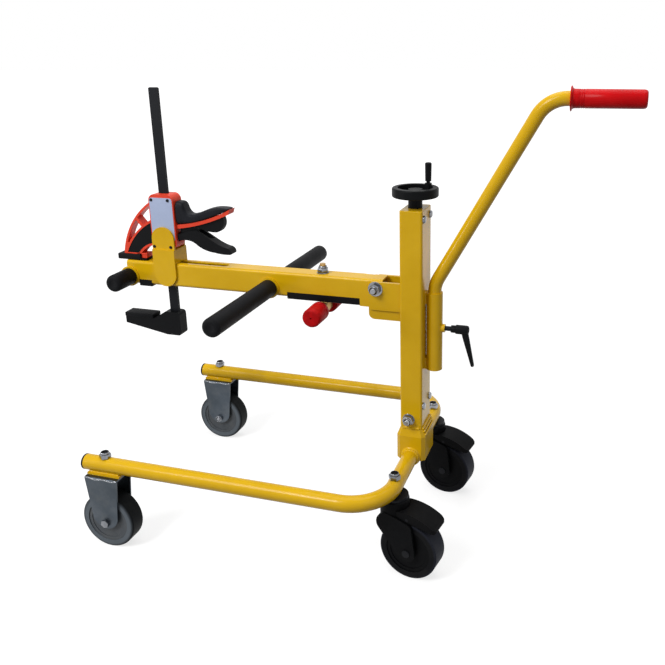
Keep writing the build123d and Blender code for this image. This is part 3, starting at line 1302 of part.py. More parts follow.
with BuildPart() as trigger:
    with BuildSketch(Plane.XZ):
        with BuildLine():
            trigger_arcs = (
                TRIGGER_CREST,
                TRIGGER_RAMP,
                TRIGGER_NOSE,
                TRIGGER_TOE,
                TRIGGER_SOLE,
                TRIGGER_HOLLOW,
                TRIGGER_THROAT,
            )
            for outline in trigger_arcs:
                ThreePointArc(*grip_curve(outline))
            Line(grip_point(*TRIGGER_CREST[2]), grip_point(*TRIGGER_RAMP[0]))
            Polyline(
                grip_point(*TRIGGER_THROAT[2]),
                grip_point(TRIGGER_DX, TRIGGER_RISE - TRIGGER_EYE_R),
                grip_point(TRIGGER_DX, TRIGGER_RISE + TRIGGER_EYE_R),
                grip_point(*TRIGGER_CREST[0]),
            )
        make_face()
        with Locations((body_rear_x, ARM_TOP_Z)):
            Rectangle(BODY_FRONT, BODY_RISE, align=(Align.MAX, Align.MIN), mode=Mode.SUBTRACT)
        with Locations((body_rear_x, ARM_TOP_Z)):
            Rectangle(TRIGGER_GAP, BODY_RISE, align=(Align.MIN, Align.MIN), mode=Mode.SUBTRACT)
    extrude(amount=TRIGGER_W / 2, both=True)
    with BuildSketch(Plane.XZ):
        with Locations(grip_point(TRIGGER_CHANNEL_START, TRIGGER_RISE)):
            Rectangle(TRIGGER_CHANNEL_L, BODY_RISE, align=(Align.MIN, Align.MIN))
    extrude(amount=GROOVE_W / 2, both=True, mode=Mode.SUBTRACT)
    with BuildSketch(Plane.XZ):
        with Locations(
            grip_point(TRIGGER_DX, TRIGGER_RISE),
            grip_point(TRIGGER_DX + TRIGGER_EYE_L, TRIGGER_RISE),
        ):
            Circle(TRIGGER_EYE_R)
        make_hull()
    extrude(amount=TRIGGER_ROOT_W / 2, both=True)
    with BuildSketch(Plane.XZ):
        with BuildLine():
            Polyline(*grip_curve(TRIGGER_WEB), close=True)
        make_face()
    extrude(amount=TRIGGER_WEB_W / 2, both=True)
    with Locations(
        Plane((body_rear_x + TRIGGER_DX, 0, ARM_TOP_Z + TRIGGER_RISE), z_dir=(0, 1, 0)),
    ):
        Hole(TRIGGER_PIN_D / 2 + RUN_FIT)
save(trigger.part, "trigger")

with BuildPart() as release_lever:
    with BuildSketch(Plane.XZ):
        with Locations(grip_point(RELEASE_DX, RELEASE_RISE)):
            Circle(RELEASE_ROOT_R)
        with BuildLine():
            ThreePointArc(*grip_curve(RELEASE_BELLY))
            ThreePointArc(*grip_curve(RELEASE_TIP))
            Polyline(
                grip_point(*RELEASE_TIP[2]),
                grip_point(RELEASE_DX, RELEASE_RISE + RELEASE_ROOT_R),
                grip_point(*RELEASE_HEEL),
                grip_point(*RELEASE_BELLY[0]),
            )
        make_face()
    extrude(amount=RELEASE_W / 2, both=True)
    with Locations(
        Plane((body_rear_x + RELEASE_DX, 0, ARM_TOP_Z + RELEASE_RISE), z_dir=(0, 1, 0)),
    ):
        Hole(RELEASE_PIN_D / 2 + RUN_FIT)
save(release_lever.part, "release_lever")

with BuildPart() as clamp_bar:
    with BuildSketch(Plane.XY.offset(BAR_BOTTOM_Z + FIXED_JAW_FLOOR)):
        with Locations((BAR_X, 0)):
            Rectangle(BAR_L, BAR_T)
    extrude(amount=BAR_TOP_Z - BAR_BOTTOM_Z - FIXED_JAW_FLOOR)
    chamfer(clamp_bar.faces().sort_by(Axis.Z)[-1].edges(), BAR_CHAMFER)
save(clamp_bar.part, "clamp_bar")

jaw_tip_x = body_front_x - JAW_PAD_TIP
jaw_heel_x = body_front_x - JAW_PAD_HEEL
fixed_seat_z = FIXED_PAD_TOP_Z - FIXED_PAD_T
fixed_front_x = BAR_X - BAR_L / 2 - FIXED_JAW_WALL
fixed_rear_x = BAR_X + BAR_L / 2 + FIXED_JAW_WALL

with BuildPart() as fixed_jaw:
    with BuildSketch(Plane.XZ) as fixed_side:
        with BuildLine():
            Polyline(
                (fixed_rear_x, BAR_BOTTOM_Z),
                (fixed_front_x, BAR_BOTTOM_Z),
                (jaw_tip_x, FIXED_JAW_TIP_Z),
                (jaw_tip_x, fixed_seat_z),
                (jaw_heel_x, fixed_seat_z),
                (fixed_front_x, FIXED_JAW_TOP_Z),
                (fixed_rear_x, FIXED_JAW_TOP_Z),
                close=True,
            )
        make_face()
        fillet(fixed_side.vertices().group_by(Axis.X)[-1], FIXED_JAW_WALL)
    extrude(amount=FIXED_JAW_W / 2, both=True)
    with BuildSketch(Plane.XY.offset(BAR_BOTTOM_Z + FIXED_JAW_FLOOR)):
        with Locations((BAR_X, 0)):
            Rectangle(BAR_L + 2 * SEAT_FIT, BAR_T + 2 * SEAT_FIT)
    extrude(amount=BODY_RISE, mode=Mode.SUBTRACT)
save(fixed_jaw.part, "fixed_jaw")

with BuildPart() as fixed_jaw_pad:
    with BuildSketch(Plane.XY.offset(fixed_seat_z)):
        with Locations((jaw_heel_x, 0)):
            Rectangle(jaw_heel_x - jaw_tip_x, JAW_PAD_W, align=(Align.MAX, Align.CENTER))
    extrude(amount=FIXED_PAD_T)
    fillet(fixed_jaw_pad.edges().filter_by(Axis.Z), JAW_PAD_ROUND)
save(fixed_jaw_pad.part, "fixed_jaw_pad")

# Push handle in its sleeve, held by a clamping lever.
sleeve_x = mast_rear_x + SLEEVE_GAP + TUBE_D / 2
tab_bottoms = (SLEEVE_BOTTOM_Z, SLEEVE_TOP_Z - SLEEVE_TAB_H)

with BuildPart() as handle_sleeve:
    with BuildSketch(Plane.XY.offset(SLEEVE_BOTTOM_Z)):
        with Locations((sleeve_x, 0)):
            Circle(TUBE_D / 2)
    extrude(amount=SLEEVE_TOP_Z - SLEEVE_BOTTOM_Z)
    for z in tab_bottoms:
        with BuildSketch(Plane.XY.offset(z)):
            with Locations((mast_rear_x, 0)):
                Rectangle(TUBE_D / 2, SLEEVE_TAB_W, align=(Align.MIN, Align.CENTER))
        extrude(amount=SLEEVE_TAB_H)
    with BuildSketch(Plane((sleeve_x, 0, LEVER_Z), z_dir=(1, 0, 0))):
        Circle(LEVER_BOSS_D / 2)
    extrude(amount=LEVER_BOSS_REACH)
    with Locations((sleeve_x, 0, SLEEVE_BOTTOM_Z)):
        Hole(HANDLE_D / 2 + SWIVEL_FIT)
    with BuildSketch(Plane((sleeve_x, 0, LEVER_Z), z_dir=(1, 0, 0))):
        Circle(LEVER_STUD_D / 2 + RUN_FIT)
    extrude(amount=LEVER_BOSS_REACH, mode=Mode.SUBTRACT)
save(handle_sleeve.part, "handle_sleeve")

with BuildPart() as handle_tube:
    with BuildLine() as handle_route:
        FilletPolyline(
            (sleeve_x, 0, HANDLE_BOTTOM_Z),
            (sleeve_x, 0, HANDLE_KNEE_Z),
            (HANDLE_TOP_X, 0, HANDLE_TOP_Z),
            (HANDLE_END_X, 0, HANDLE_TOP_Z),
            radius=HANDLE_BEND,
        )
    with BuildSketch(Plane(handle_route.line @ 0, z_dir=handle_route.line % 0)):
        Circle(HANDLE_D / 2)
        Circle(HANDLE_D / 2 - HANDLE_WALL, mode=Mode.SUBTRACT)
    sweep()
save(handle_tube.part, "handle_tube")

with BuildPart() as handle_grip:
    grip_start = Plane((GRIP_START_X, 0, HANDLE_TOP_Z), z_dir=(1, 0, 0))
    with BuildSketch(grip_start):
        Circle(HAND_GRIP_D / 2)
    extrude(amount=GRIP_END_X - GRIP_START_X)
    fillet(handle_grip.faces().sort_by(Axis.X)[-1].edges(), HAND_GRIP_ROUND)
    with BuildSketch(grip_start):
        Circle(HAND_GRIP_FLANGE_D / 2)
    extrude(amount=HAND_GRIP_FLANGE_T)
    with Locations(grip_start):
        Hole(HANDLE_D / 2 + SEAT_FIT, depth=HANDLE_END_X + SLIDE_FIT - GRIP_START_X)
save(handle_grip.part, "handle_grip")

stud_tip = HANDLE_D / 2 + SLIDE_FIT
with BuildPart() as clamping_stud:
    with BuildSketch(Plane((sleeve_x + stud_tip, 0, LEVER_Z), z_dir=(1, 0, 0))):
        Circle(LEVER_STUD_D / 2)
    extrude(amount=LEVER_STUD_REACH - stud_tip)
save(clamping_stud.part, "clamping_stud")

with BuildPart() as clamping_lever:
    with BuildSketch(Plane((sleeve_x + LEVER_HUB_START, 0, LEVER_Z), z_dir=(1, 0, 0))):
        Circle(LEVER_HUB_D / 2)
    extrude(amount=LEVER_HUB_END - LEVER_HUB_START)
    fillet(clamping_lever.faces().sort_by(Axis.X)[-1].edges(), HAND_GRIP_ROUND)
    with BuildSketch(Plane.XZ):
        with Locations((sleeve_x + LEVER_ARM_X, LEVER_Z)):
            Circle(LEVER_ROOT_R)
        with Locations((sleeve_x + LEVER_TIP_X, LEVER_TIP_Z)):
            Circle(LEVER_TIP_R)
        make_hull()
    extrude(amount=LEVER_ARM_W / 2, both=True)
    with Locations(Plane((sleeve_x + LEVER_HUB_START, 0, LEVER_Z), z_dir=(1, 0, 0))):
        Hole(LEVER_STUD_D / 2 + SEAT_FIT, depth=LEVER_STUD_REACH - LEVER_HUB_START)
save(clamping_lever.part, "clamping_lever")
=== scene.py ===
import logging
import math
from abc import ABC, abstractmethod
from contextlib import contextmanager
from dataclasses import dataclass
from enum import Enum
from typing import Callable, Iterable, Iterator, Sequence

import bpy
from mathutils import Matrix, Vector


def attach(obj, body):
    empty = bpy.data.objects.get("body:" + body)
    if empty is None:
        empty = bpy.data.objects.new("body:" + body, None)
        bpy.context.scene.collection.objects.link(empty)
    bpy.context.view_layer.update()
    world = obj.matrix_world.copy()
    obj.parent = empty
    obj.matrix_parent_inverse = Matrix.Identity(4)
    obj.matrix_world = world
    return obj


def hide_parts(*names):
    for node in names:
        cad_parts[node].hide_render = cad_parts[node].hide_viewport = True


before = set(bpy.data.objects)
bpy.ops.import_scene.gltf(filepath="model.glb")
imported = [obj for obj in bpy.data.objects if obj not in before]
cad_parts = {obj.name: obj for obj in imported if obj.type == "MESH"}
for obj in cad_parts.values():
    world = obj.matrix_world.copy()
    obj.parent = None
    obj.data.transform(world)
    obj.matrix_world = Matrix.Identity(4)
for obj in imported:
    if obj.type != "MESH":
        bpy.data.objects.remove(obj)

LOG = logging.getLogger("pan_trolley")

Point = tuple[float, float, float]
Colour = tuple[float, float, float]
Profile = Sequence[tuple[float, float]]
Station = tuple[float, float, float, float]
Socket = bpy.types.NodeSocket
Piece = bpy.types.Object
Tree = bpy.types.ShaderNodeTree
Feed = Socket | float | Sequence[float]
EdgeTest = Callable[[Vector, Vector], bool]

SIDE_NAMES = {-1: "left", 1: "right"}
SIDES = tuple(SIDE_NAMES)
HERE = Matrix.Identity(4)

# How far from a plane an edge may be to count as lying in it.
NEAR = 0.0005


class Body(Enum):
    """Rigid bodies of the trolley that new pieces ride on."""

    CHASSIS = "chassis"
    LIFT = "lift"
    SPINDLE = "spindle"
    ARM = "arm"
    CLAMP = "clamp"
    BAR = "bar"
    HANDLE = "handle"
    LEVER = "lever"


class Axis(Enum):
    """Directions that a piece modelled along +Z can be laid in."""

    UP = (0.0, 0.0, 1.0)
    REAR = (1.0, 0.0, 0.0)
    RIGHT = (0.0, 1.0, 0.0)
    LEFT = (0.0, -1.0, 0.0)

    def turn(self) -> Matrix:
        """Rotation that lays +Z along this direction."""
        return Vector((0.0, 0.0, 1.0)).rotation_difference(Vector(self.value)).to_matrix().to_4x4()


class Smooth(Enum):
    """Largest angle in degrees across which the faces of a piece are shaded smooth."""

    CRISP = 30.0
    PLAIN = 35.0
    SOFT = 40.0
    ROUND = 50.0


@dataclass(frozen=True)
class Layout:
    """Places of the main parts in the shared frame, in metres."""

    castor_x: float = -0.383
    leg_y: float = 0.2
    axle_z: float = 0.05
    tube_r: float = 0.01345
    frame_z: float = 0.1525
    mast_x: float = 0.11
    stop_x: float = -0.053
    arm_top_z: float = 0.4615

    @property
    def tube_top_z(self) -> float:
        """Top of the base tube."""
        return self.frame_z + self.tube_r


LAYOUT = Layout()


def at(spot: Point, way: Axis = Axis.UP, spin: float = 0.0) -> Matrix:
    """Place of a piece modelled along +Z: its spot, its direction and its spin in degrees."""
    return Matrix.Translation(spot) @ way.turn() @ Matrix.Rotation(math.radians(spin), 4, "Z")


def paired(x: float, y: float, z: float, way: Axis = Axis.UP) -> list[Matrix]:
    """Left and right places of a piece at a distance y from the trolley's middle."""
    return [at((x, side * y, z), way) for side in SIDES]


class Workbench:
    """Modelling moves made with Blender's operators, one piece at a time."""

    @staticmethod
    def clear() -> None:
        """Deselect everything before a new piece is started."""
        bpy.ops.object.select_all(action="DESELECT")

    @staticmethod
    def take(piece: Piece) -> None:
        """Make one piece the only selected and active one.

        Args:
            piece: The piece.
        """
        Workbench.clear()
        piece.select_set(True)
        bpy.context.view_layer.objects.active = piece

    @staticmethod
    def started(name: str) -> Piece:
        """Name the piece that was just added and put its place in its mesh.

        Args:
            name: Name of the piece.

        Returns:
            The piece.
        """
        piece = bpy.context.active_object
        piece.name = name
        bpy.ops.object.transform_apply(location=True, rotation=True, scale=True)
        return piece

    @staticmethod
    @contextmanager
    def editing() -> Iterator[None]:
        """Work on the active piece in edit mode, starting with all of it selected."""
        bpy.ops.object.mode_set(mode="EDIT")
        bpy.ops.mesh.select_all(action="SELECT")
        yield
        bpy.ops.object.mode_set(mode="OBJECT")

    @staticmethod
    def pick_edges(piece: Piece, test: EdgeTest) -> None:
        """Select the edges whose middle passes a test, in edge mode.

        Args:
            piece: Object in edit mode.
            test: Function of the edge's middle and direction that says whether it is wanted.
        """
        bpy.ops.mesh.select_mode(type="EDGE")
        bpy.ops.mesh.select_all(action="DESELECT")
        bpy.ops.object.mode_set(mode="OBJECT")
        mesh = piece.data
        for edge in mesh.edges:
            ends = [mesh.vertices[i].co for i in edge.vertices]
            edge.select = bool(test((ends[0] + ends[1]) / 2, (ends[1] - ends[0]).normalized()))
        bpy.ops.object.mode_set(mode="EDIT")

    @staticmethod
    def settle(piece: Piece, place: Matrix = HERE, smooth: Smooth = Smooth.PLAIN) -> Piece:
        """Put a finished piece in its place, with its place in its mesh.

        Args:
            piece: Object in object mode.
            place: Where the piece goes.
            smooth: How far the faces are shaded smooth.

        Returns:
            The same piece.
        """
        Workbench.take(piece)
        piece.matrix_world = place
        bpy.ops.object.transform_apply(location=True, rotation=True, scale=True)
        with Workbench.editing():
            bpy.ops.mesh.normals_make_consistent(inside=False)
        bpy.ops.object.shade_smooth_by_angle(angle=math.radians(smooth.value))
        return piece

    @staticmethod
    def grow(move: Point, scale: Point, centre: Point) -> None:
        """Extrude what is selected by a move and scale the new end about its centre."""
        bpy.ops.mesh.extrude_region_move(TRANSFORM_OT_translate={"value": move})
        bpy.ops.transform.resize(value=scale, center_override=centre)

    @staticmethod
    def turned(name: str, profile: Profile, segments: int = 48) -> Piece:
        """Turn a closed piece about +Z by extruding and scaling rings.

        Args:
            name: Name of the piece.
            profile: Height and radius of each ring in metres.
            segments: Corners of each ring.

        Returns:
            The piece at the origin, in object mode.
        """
        Workbench.clear()
        height, radius = profile[0]
        bpy.ops.mesh.primitive_circle_add(
            vertices=segments, radius=radius, fill_type="NGON", location=(0.0, 0.0, height)
        )
        piece = Workbench.started(name)
        with Workbench.editing():
            for next_height, next_radius in profile[1:]:
                move, wider = (0.0, 0.0, next_height - height), next_radius / radius
                Workbench.grow(move, (wider, wider, 1.0), (0.0, 0.0, next_height))
                height, radius = next_height, next_radius
        return piece

    @staticmethod
    def drawn(name: str, stations: Sequence[Station], corner: float = 0.3) -> Piece:
        """Draw a bar along +X through upright sections with rounded corners.

        Args:
            name: Name of the piece.
            stations: Place along X, lowest and highest Z and half width of each section.
            corner: Rounding of the section as a share of its size.

        Returns:
            The piece, in object mode.
        """
        Workbench.clear()
        along, low, high, half = stations[0]
        bpy.ops.mesh.primitive_plane_add(size=1.0, rotation=(0.0, math.pi / 2, 0.0))
        piece = Workbench.started(name)
        with Workbench.editing():
            bpy.ops.mesh.bevel(offset=corner, segments=4, affect="VERTICES")
            bpy.ops.mesh.select_all(action="SELECT")
            bpy.ops.transform.resize(
                value=(1.0, 2 * half, high - low), center_override=(0.0, 0.0, 0.0)
            )
            bpy.ops.transform.translate(value=(along, 0.0, (low + high) / 2))
            for next_along, next_low, next_high, next_half in stations[1:]:
                middle = (next_low + next_high) / 2
                move = (next_along - along, 0.0, middle - (low + high) / 2)
                scale = (1.0, next_half / half, (next_high - next_low) / (high - low))
                Workbench.grow(move, scale, (next_along, 0.0, middle))
                along, low, high, half = next_along, next_low, next_high, next_half
        return piece

    @staticmethod
    def block(name: str, low: Point, high: Point, rounding: float, test: EdgeTest) -> Piece:
        """Make a block between two corners and round some of its edges.

        Args:
            name: Name of the piece.
            low: Lowest corner.
            high: Highest corner.
            rounding: Radius of the rounded edges.
            test: Function of an edge's middle and direction that picks the rounded edges.

        Returns:
            The piece, in object mode.
        """
        Workbench.clear()
        corners = (Vector(low), Vector(high))
        bpy.ops.mesh.primitive_cube_add(size=1.0, location=(corners[0] + corners[1]) / 2)
        bpy.context.active_object.scale = corners[1] - corners[0]
        piece = Workbench.started(name)
        with Workbench.editing():
            Workbench.pick_edges(piece, test)
            bpy.ops.mesh.bevel(offset=rounding, segments=3, affect="EDGES")
        return piece

    @staticmethod
    def hexagon(name: str, flats: float, height: float, chamfer: float) -> Piece:
        """Make a hexagonal head standing on z = 0 with its rims chamfered.

        Args:
            name: Name of the piece.
            flats: Width across flats.
            height: Height of the head.
            chamfer: Chamfer of the upper and lower rim.

        Returns:
            The piece, in object mode.
        """
        Workbench.clear()
        bpy.ops.mesh.primitive_cylinder_add(
            vertices=6, radius=flats / math.sqrt(3), depth=height, location=(0, 0, height / 2)
        )
        piece = Workbench.started(name)
        with Workbench.editing():
            Workbench.pick_edges(piece, lambda middle, way: abs(way.z) < 0.5)
            bpy.ops.mesh.bevel(offset=chamfer, segments=2, affect="EDGES")
        return piece

    @staticmethod
    def apply(piece: Piece, kind: str, **settings: object) -> None:
        """Add a modifier to a piece and apply it.

        Args:
            piece: The piece.
            kind: Type of the modifier.
            **settings: Properties of the modifier.
        """
        Workbench.take(piece)
        modifier = piece.modifiers.new(kind.title(), kind)
        for key, value in settings.items():
            setattr(modifier, key, value)
        bpy.ops.object.modifier_apply(modifier=modifier.name)

    @staticmethod
    def soften(piece: Piece, levels: int) -> None:
        """Round a piece with an applied subdivision surface."""
        Workbench.apply(piece, "SUBSURF", levels=levels, render_levels=levels)

    @staticmethod
    def cut(piece: Piece, cutter: Piece) -> None:
        """Cut one closed piece out of another and throw the cutter away."""
        Workbench.apply(piece, "BOOLEAN", operation="DIFFERENCE", object=cutter, solver="EXACT")
        bpy.data.objects.remove(cutter)

    @staticmethod
    def copies(
        model: Piece, places: Sequence[Matrix], smooth: Smooth = Smooth.PLAIN
    ) -> list[Piece]:
        """Copy a model, each copy with its own mesh, and throw the model away.

        Args:
            model: Object at the origin.
            places: Where the copies go.
            smooth: How far the faces are shaded smooth.

        Returns:
            The copies in their places.
        """
        twins = []
        for place in places:
            Workbench.take(model)
            bpy.ops.object.duplicate(linked=False)
            twins.append(Workbench.settle(bpy.context.active_object, place, smooth))
        bpy.data.objects.remove(model)
        return twins

    @staticmethod
    def join(name: str, pieces: Sequence[Piece]) -> Piece:
        """Join finished pieces into one object.

        Args:
            name: Name of the joined piece.
            pieces: Objects at the origin.

        Returns:
            The joined piece.
        """
        Workbench.take(pieces[0])
        for piece in pieces[1:]:
            piece.select_set(True)
        bpy.ops.object.join()
        pieces[0].name = name
        return pieces[0]


class Wiring:
    """A node tree with short calls that add nodes and link them."""

    def __init__(self, tree: Tree) -> None:
        """Start on the emptied node tree of a group, a material or the world."""
        self.tree = tree
        self.tree.nodes.clear()

    def put(self, socket: Socket, value: Feed) -> None:
        """Link a socket to the one that feeds it, or set its plain value.

        Args:
            socket: Input of a node.
            value: The socket that feeds it, or the value.
        """
        if isinstance(value, Socket):
            self.tree.links.new(value, socket)
        else:
            socket.default_value = value

    def node(
        self, kind: str, inputs: dict[str | int, Feed] | None = None, **settings: object
    ) -> bpy.types.Node:
        """Add a node.

        Args:
            kind: Type of the node.
            inputs: What goes into each input, by its name or number.
            **settings: Properties of the node.

        Returns:
            The node.
        """
        node = self.tree.nodes.new(kind)
        for key, value in settings.items():
            setattr(node, key, value)
        for key, value in (inputs or {}).items():
            self.put(node.inputs[key], value)
        return node

    def noise(self, vector: Socket, scale: Feed, detail: float, rough: float) -> Socket:
        """Add a noise texture."""
        inputs = {"Vector": vector, "Scale": scale, "Detail": detail, "Roughness": rough}
        return self.node("ShaderNodeTexNoise", inputs).outputs["Fac"]

    def ranged(
        self,
        value: Socket,
        low: float = 0.0,
        high: float = 1.0,
        start: float = 0.0,
        end: Feed = 1.0,
    ) -> Socket:
        """Spread a value so that start becomes low and end becomes high."""
        inputs = {"Value": value, "From Min": start, "From Max": end, "To Min": low, "To Max": high}
        return self.node("ShaderNodeMapRange", inputs).outputs["Result"]

    def times(self, first: Socket, second: Feed) -> Socket:
        """Multiply two values."""
        product = self.node("ShaderNodeMath", {0: first, 1: second}, operation="MULTIPLY")
        return product.outputs["Value"]


class NodeGroup(Wiring):
    """A shader node group that takes a vector and a few values."""

    def __init__(self, name: str, inputs: dict[str, float], outputs: Sequence[str]) -> None:
        """Start a group with its sockets.

        Args:
            name: Name of the group.
            inputs: Name and default of each value input.
            outputs: Names of the value outputs.
        """
        super().__init__(bpy.data.node_groups.new(name, "ShaderNodeTree"))
        sockets = self.tree.interface
        sockets.new_socket(name="Vector", in_out="INPUT", socket_type="NodeSocketVector")
        for label, default in inputs.items():
            socket = sockets.new_socket(name=label, in_out="INPUT", socket_type="NodeSocketFloat")
            socket.default_value = default
        for label in outputs:
            sockets.new_socket(name=label, in_out="OUTPUT", socket_type="NodeSocketFloat")
        self.given = self.node("NodeGroupInput").outputs
        self.vector = self.given["Vector"]

    def finish(self, **results: Socket) -> Tree:
        """Link what each output shows and give the group's tree."""
        self.node("NodeGroupOutput", results)
        return self.tree


class TextureKit:
    """Shader node groups that the finishes share, each built once."""

    def __init__(self) -> None:
        """Build all groups."""
        self.grain = self._grain()
        self.soil = self._soil()
        self.scuffs = self._scuffs()
        self.brush = self._brush()

    @staticmethod
    def _grain() -> Tree:
        """Fine surface grain with a slow mottle over it.

        Returns:
            The group's tree.
        """
        inputs = {"Scale": 600.0, "Mottle Scale": 14.0}
        group = NodeGroup("fine_grain", inputs, ("Height", "Mottle"))
        fine = group.noise(group.vector, group.given["Scale"], detail=3.0, rough=0.55)
        slow = group.noise(group.vector, group.given["Mottle Scale"], detail=4.0, rough=0.6)
        return group.finish(Height=fine, Mottle=group.ranged(slow, start=0.32, end=0.68))

    @staticmethod
    def _soil() -> Tree:
        """Dust that gathers near the floor and in patches.

        Returns:
            The group's tree.
        """
        group = NodeGroup("floor_dust", {"Reach": 0.25, "Amount": 0.2}, ("Mask",))
        height = group.node("ShaderNodeSeparateXYZ", {"Vector": group.vector}).outputs["Z"]
        low_down = group.ranged(height, low=1.0, high=0.12, end=group.given["Reach"])
        cloud = group.noise(group.vector, scale=38.0, detail=6.0, rough=0.65)
        patches = group.ranged(cloud, start=0.42, end=0.72)
        return group.finish(Mask=group.times(group.times(low_down, patches), group.given["Amount"]))

    @staticmethod
    def _scuffs() -> Tree:
        """Short fine scratches in a few places.

        Returns:
            The group's tree.
        """
        group = NodeGroup("light_scuffs", {"Amount": 0.3}, ("Mask",))
        stretch = group.node(
            "ShaderNodeMapping",
            {"Vector": group.vector, "Rotation": (0.5, 0.3, 0.6), "Scale": (1.0, 9.0, 9.0)},
        )
        lines = group.noise(stretch.outputs["Vector"], scale=55.0, detail=2.0, rough=0.5)
        thin = group.ranged(lines, start=0.7, end=0.76)
        cloud = group.noise(group.vector, scale=9.0, detail=2.0, rough=0.5)
        places = group.ranged(cloud, start=0.5, end=0.65)
        return group.finish(Mask=group.times(group.times(thin, places), group.given["Amount"]))

    @staticmethod
    def _brush() -> Tree:
        """Drawn-metal lines along one direction.

        Returns:
            The group's tree.
        """
        group = NodeGroup("drawn_lines", {"Scale": 60.0}, ("Height", "Mask"))
        stretch = group.node(
            "ShaderNodeMapping", {"Vector": group.vector, "Scale": (22.0, 22.0, 1.0)}
        )
        lines = group.noise(stretch.outputs["Vector"], group.given["Scale"], detail=4.0, rough=0.6)
        coarse = group.times(group.given["Scale"], 0.4)
        cloud = group.noise(group.vector, coarse, detail=3.0, rough=0.5)
        return group.finish(Height=lines, Mask=cloud)


class Graph(Wiring):
    """Node tree of one material round its shader."""

    def __init__(self, name: str) -> None:
        """Start a material.

        Args:
            name: Name of the material.
        """
        self.material = bpy.data.materials.new(name)
        self.material.use_nodes = True
        super().__init__(self.material.node_tree)
        self.coords = self.node("ShaderNodeTexCoord").outputs["Object"]
        self.shader = self.node("ShaderNodeBsdfPrincipled")
        self.node("ShaderNodeOutputMaterial", {"Surface": self.shader.outputs["BSDF"]})

    def group(self, tree: Tree, **values: float) -> bpy.types.bpy_prop_collection:
        """Place a shared group on the object's coordinates.

        Args:
            tree: The group.
            **values: Input values, with underscores for spaces.

        Returns:
            The group's outputs.
        """
        inputs = {key.replace("_", " ").title(): value for key, value in values.items()}
        inputs["Vector"] = self.coords
        return self.node("ShaderNodeGroup", inputs, node_tree=tree).outputs

    def mix(self, mask: Socket, under: Colour | Socket, over: Colour) -> Socket:
        """Lay one colour over another by a mask.

        Args:
            mask: Share of the upper colour.
            under: Lower colour or the socket that gives it.
            over: Upper colour.

        Returns:
            The mixed colour.
        """
        lower = under if isinstance(under, Socket) else (*under, 1.0)
        inputs = {"Factor": mask, "A": lower, "B": (*over, 1.0)}
        return self.node("ShaderNodeMix", inputs, data_type="RGBA").outputs["Result"]

    def bump(
        self, height: Socket, strength: float, distance: float, under: Socket | None = None
    ) -> Socket:
        """Turn a height into a normal.

        Args:
            height: The height.
            strength: Strength of the relief.
            distance: Depth of the relief in metres.
            under: Normal below it, if there is one.

        Returns:
            The normal.
        """
        inputs = {"Height": height, "Strength": strength, "Distance": distance}
        if under is not None:
            inputs["Normal"] = under
        return self.node("ShaderNodeBump", inputs).outputs["Normal"]

    def shade(self, inputs: dict[str, Feed]) -> bpy.types.Material:
        """Feed the shader.

        Args:
            inputs: What goes into each of the shader's inputs.

        Returns:
            The finished material.
        """
        for key, value in inputs.items():
            self.put(self.shader.inputs[key], value)
        return self.material


DUST: Colour = (0.36, 0.34, 0.3)


@dataclass(frozen=True)
class Finish:
    """A surface finish: two close colours, a grain and light traces of use."""

    name: str
    colour: Colour
    shade: Colour
    roughness: float
    spread: float = 0.07
    metallic: float = 0.0
    grain: float = 700.0
    mottle: float = 14.0
    depth: float = 0.00006
    strength: float = 0.25
    dust: float = 0.25
    dust_reach: float = 0.25
    scuffs: float = 0.3
    scuff_colour: Colour = (0.3, 0.3, 0.3)
    specular: float = 0.5

    def material(self, kit: TextureKit) -> bpy.types.Material:
        """Make the material.

        Args:
            kit: Shared node groups.

        Returns:
            The material with all its nodes.
        """
        graph = Graph(self.name)
        grain = graph.group(kit.grain, scale=self.grain, mottle_scale=self.mottle)
        soil = graph.group(kit.soil, reach=self.dust_reach, amount=self.dust)
        scuffs = graph.group(kit.scuffs, amount=self.scuffs)
        colour = self.tint(graph, kit, graph.mix(grain["Mottle"], self.colour, self.shade))
        colour = graph.mix(scuffs["Mask"], colour, self.scuff_colour)
        smoothest, roughest = self.roughness - self.spread, self.roughness + self.spread
        return graph.shade(
            {
                "Base Color": graph.mix(soil["Mask"], colour, DUST),
                "Roughness": graph.ranged(grain["Mottle"], smoothest, roughest),
                "Normal": self.relief(graph, kit, grain["Height"]),
                "Metallic": self.metallic,
                "Specular IOR Level": self.specular,
            }
        )

    def tint(self, graph: Graph, kit: TextureKit, colour: Socket) -> Socket:
        """Colour before scuffs and dust."""
        return colour

    def relief(self, graph: Graph, kit: TextureKit, height: Socket) -> Socket:
        """Normal of the grain."""
        return graph.bump(height, self.strength, self.depth)


@dataclass(frozen=True)
class DrawnMetal(Finish):
    """Metal with drawn lines and cloudy plating."""

    lines: float = 60.0
    cloud: Colour = (0.3, 0.31, 0.33)

    def tint(self, graph: Graph, kit: TextureKit, colour: Socket) -> Socket:
        """Colour clouded by the plating."""
        brush = graph.group(kit.brush, scale=self.lines)
        return graph.mix(graph.ranged(brush["Mask"], low=-0.6, high=1.3), colour, self.cloud)

    def relief(self, graph: Graph, kit: TextureKit, height: Socket) -> Socket:
        """Normal of the grain over the drawn lines.

        Args:
            graph: Nodes of the material.
            kit: Shared node groups.
            height: Height of the grain.

        Returns:
            The normal.
        """
        brush = graph.group(kit.brush, scale=self.lines)
        lines = graph.bump(brush["Height"], self.strength, self.depth)
        return graph.bump(height, self.strength * 0.5, self.depth * 0.5, lines)


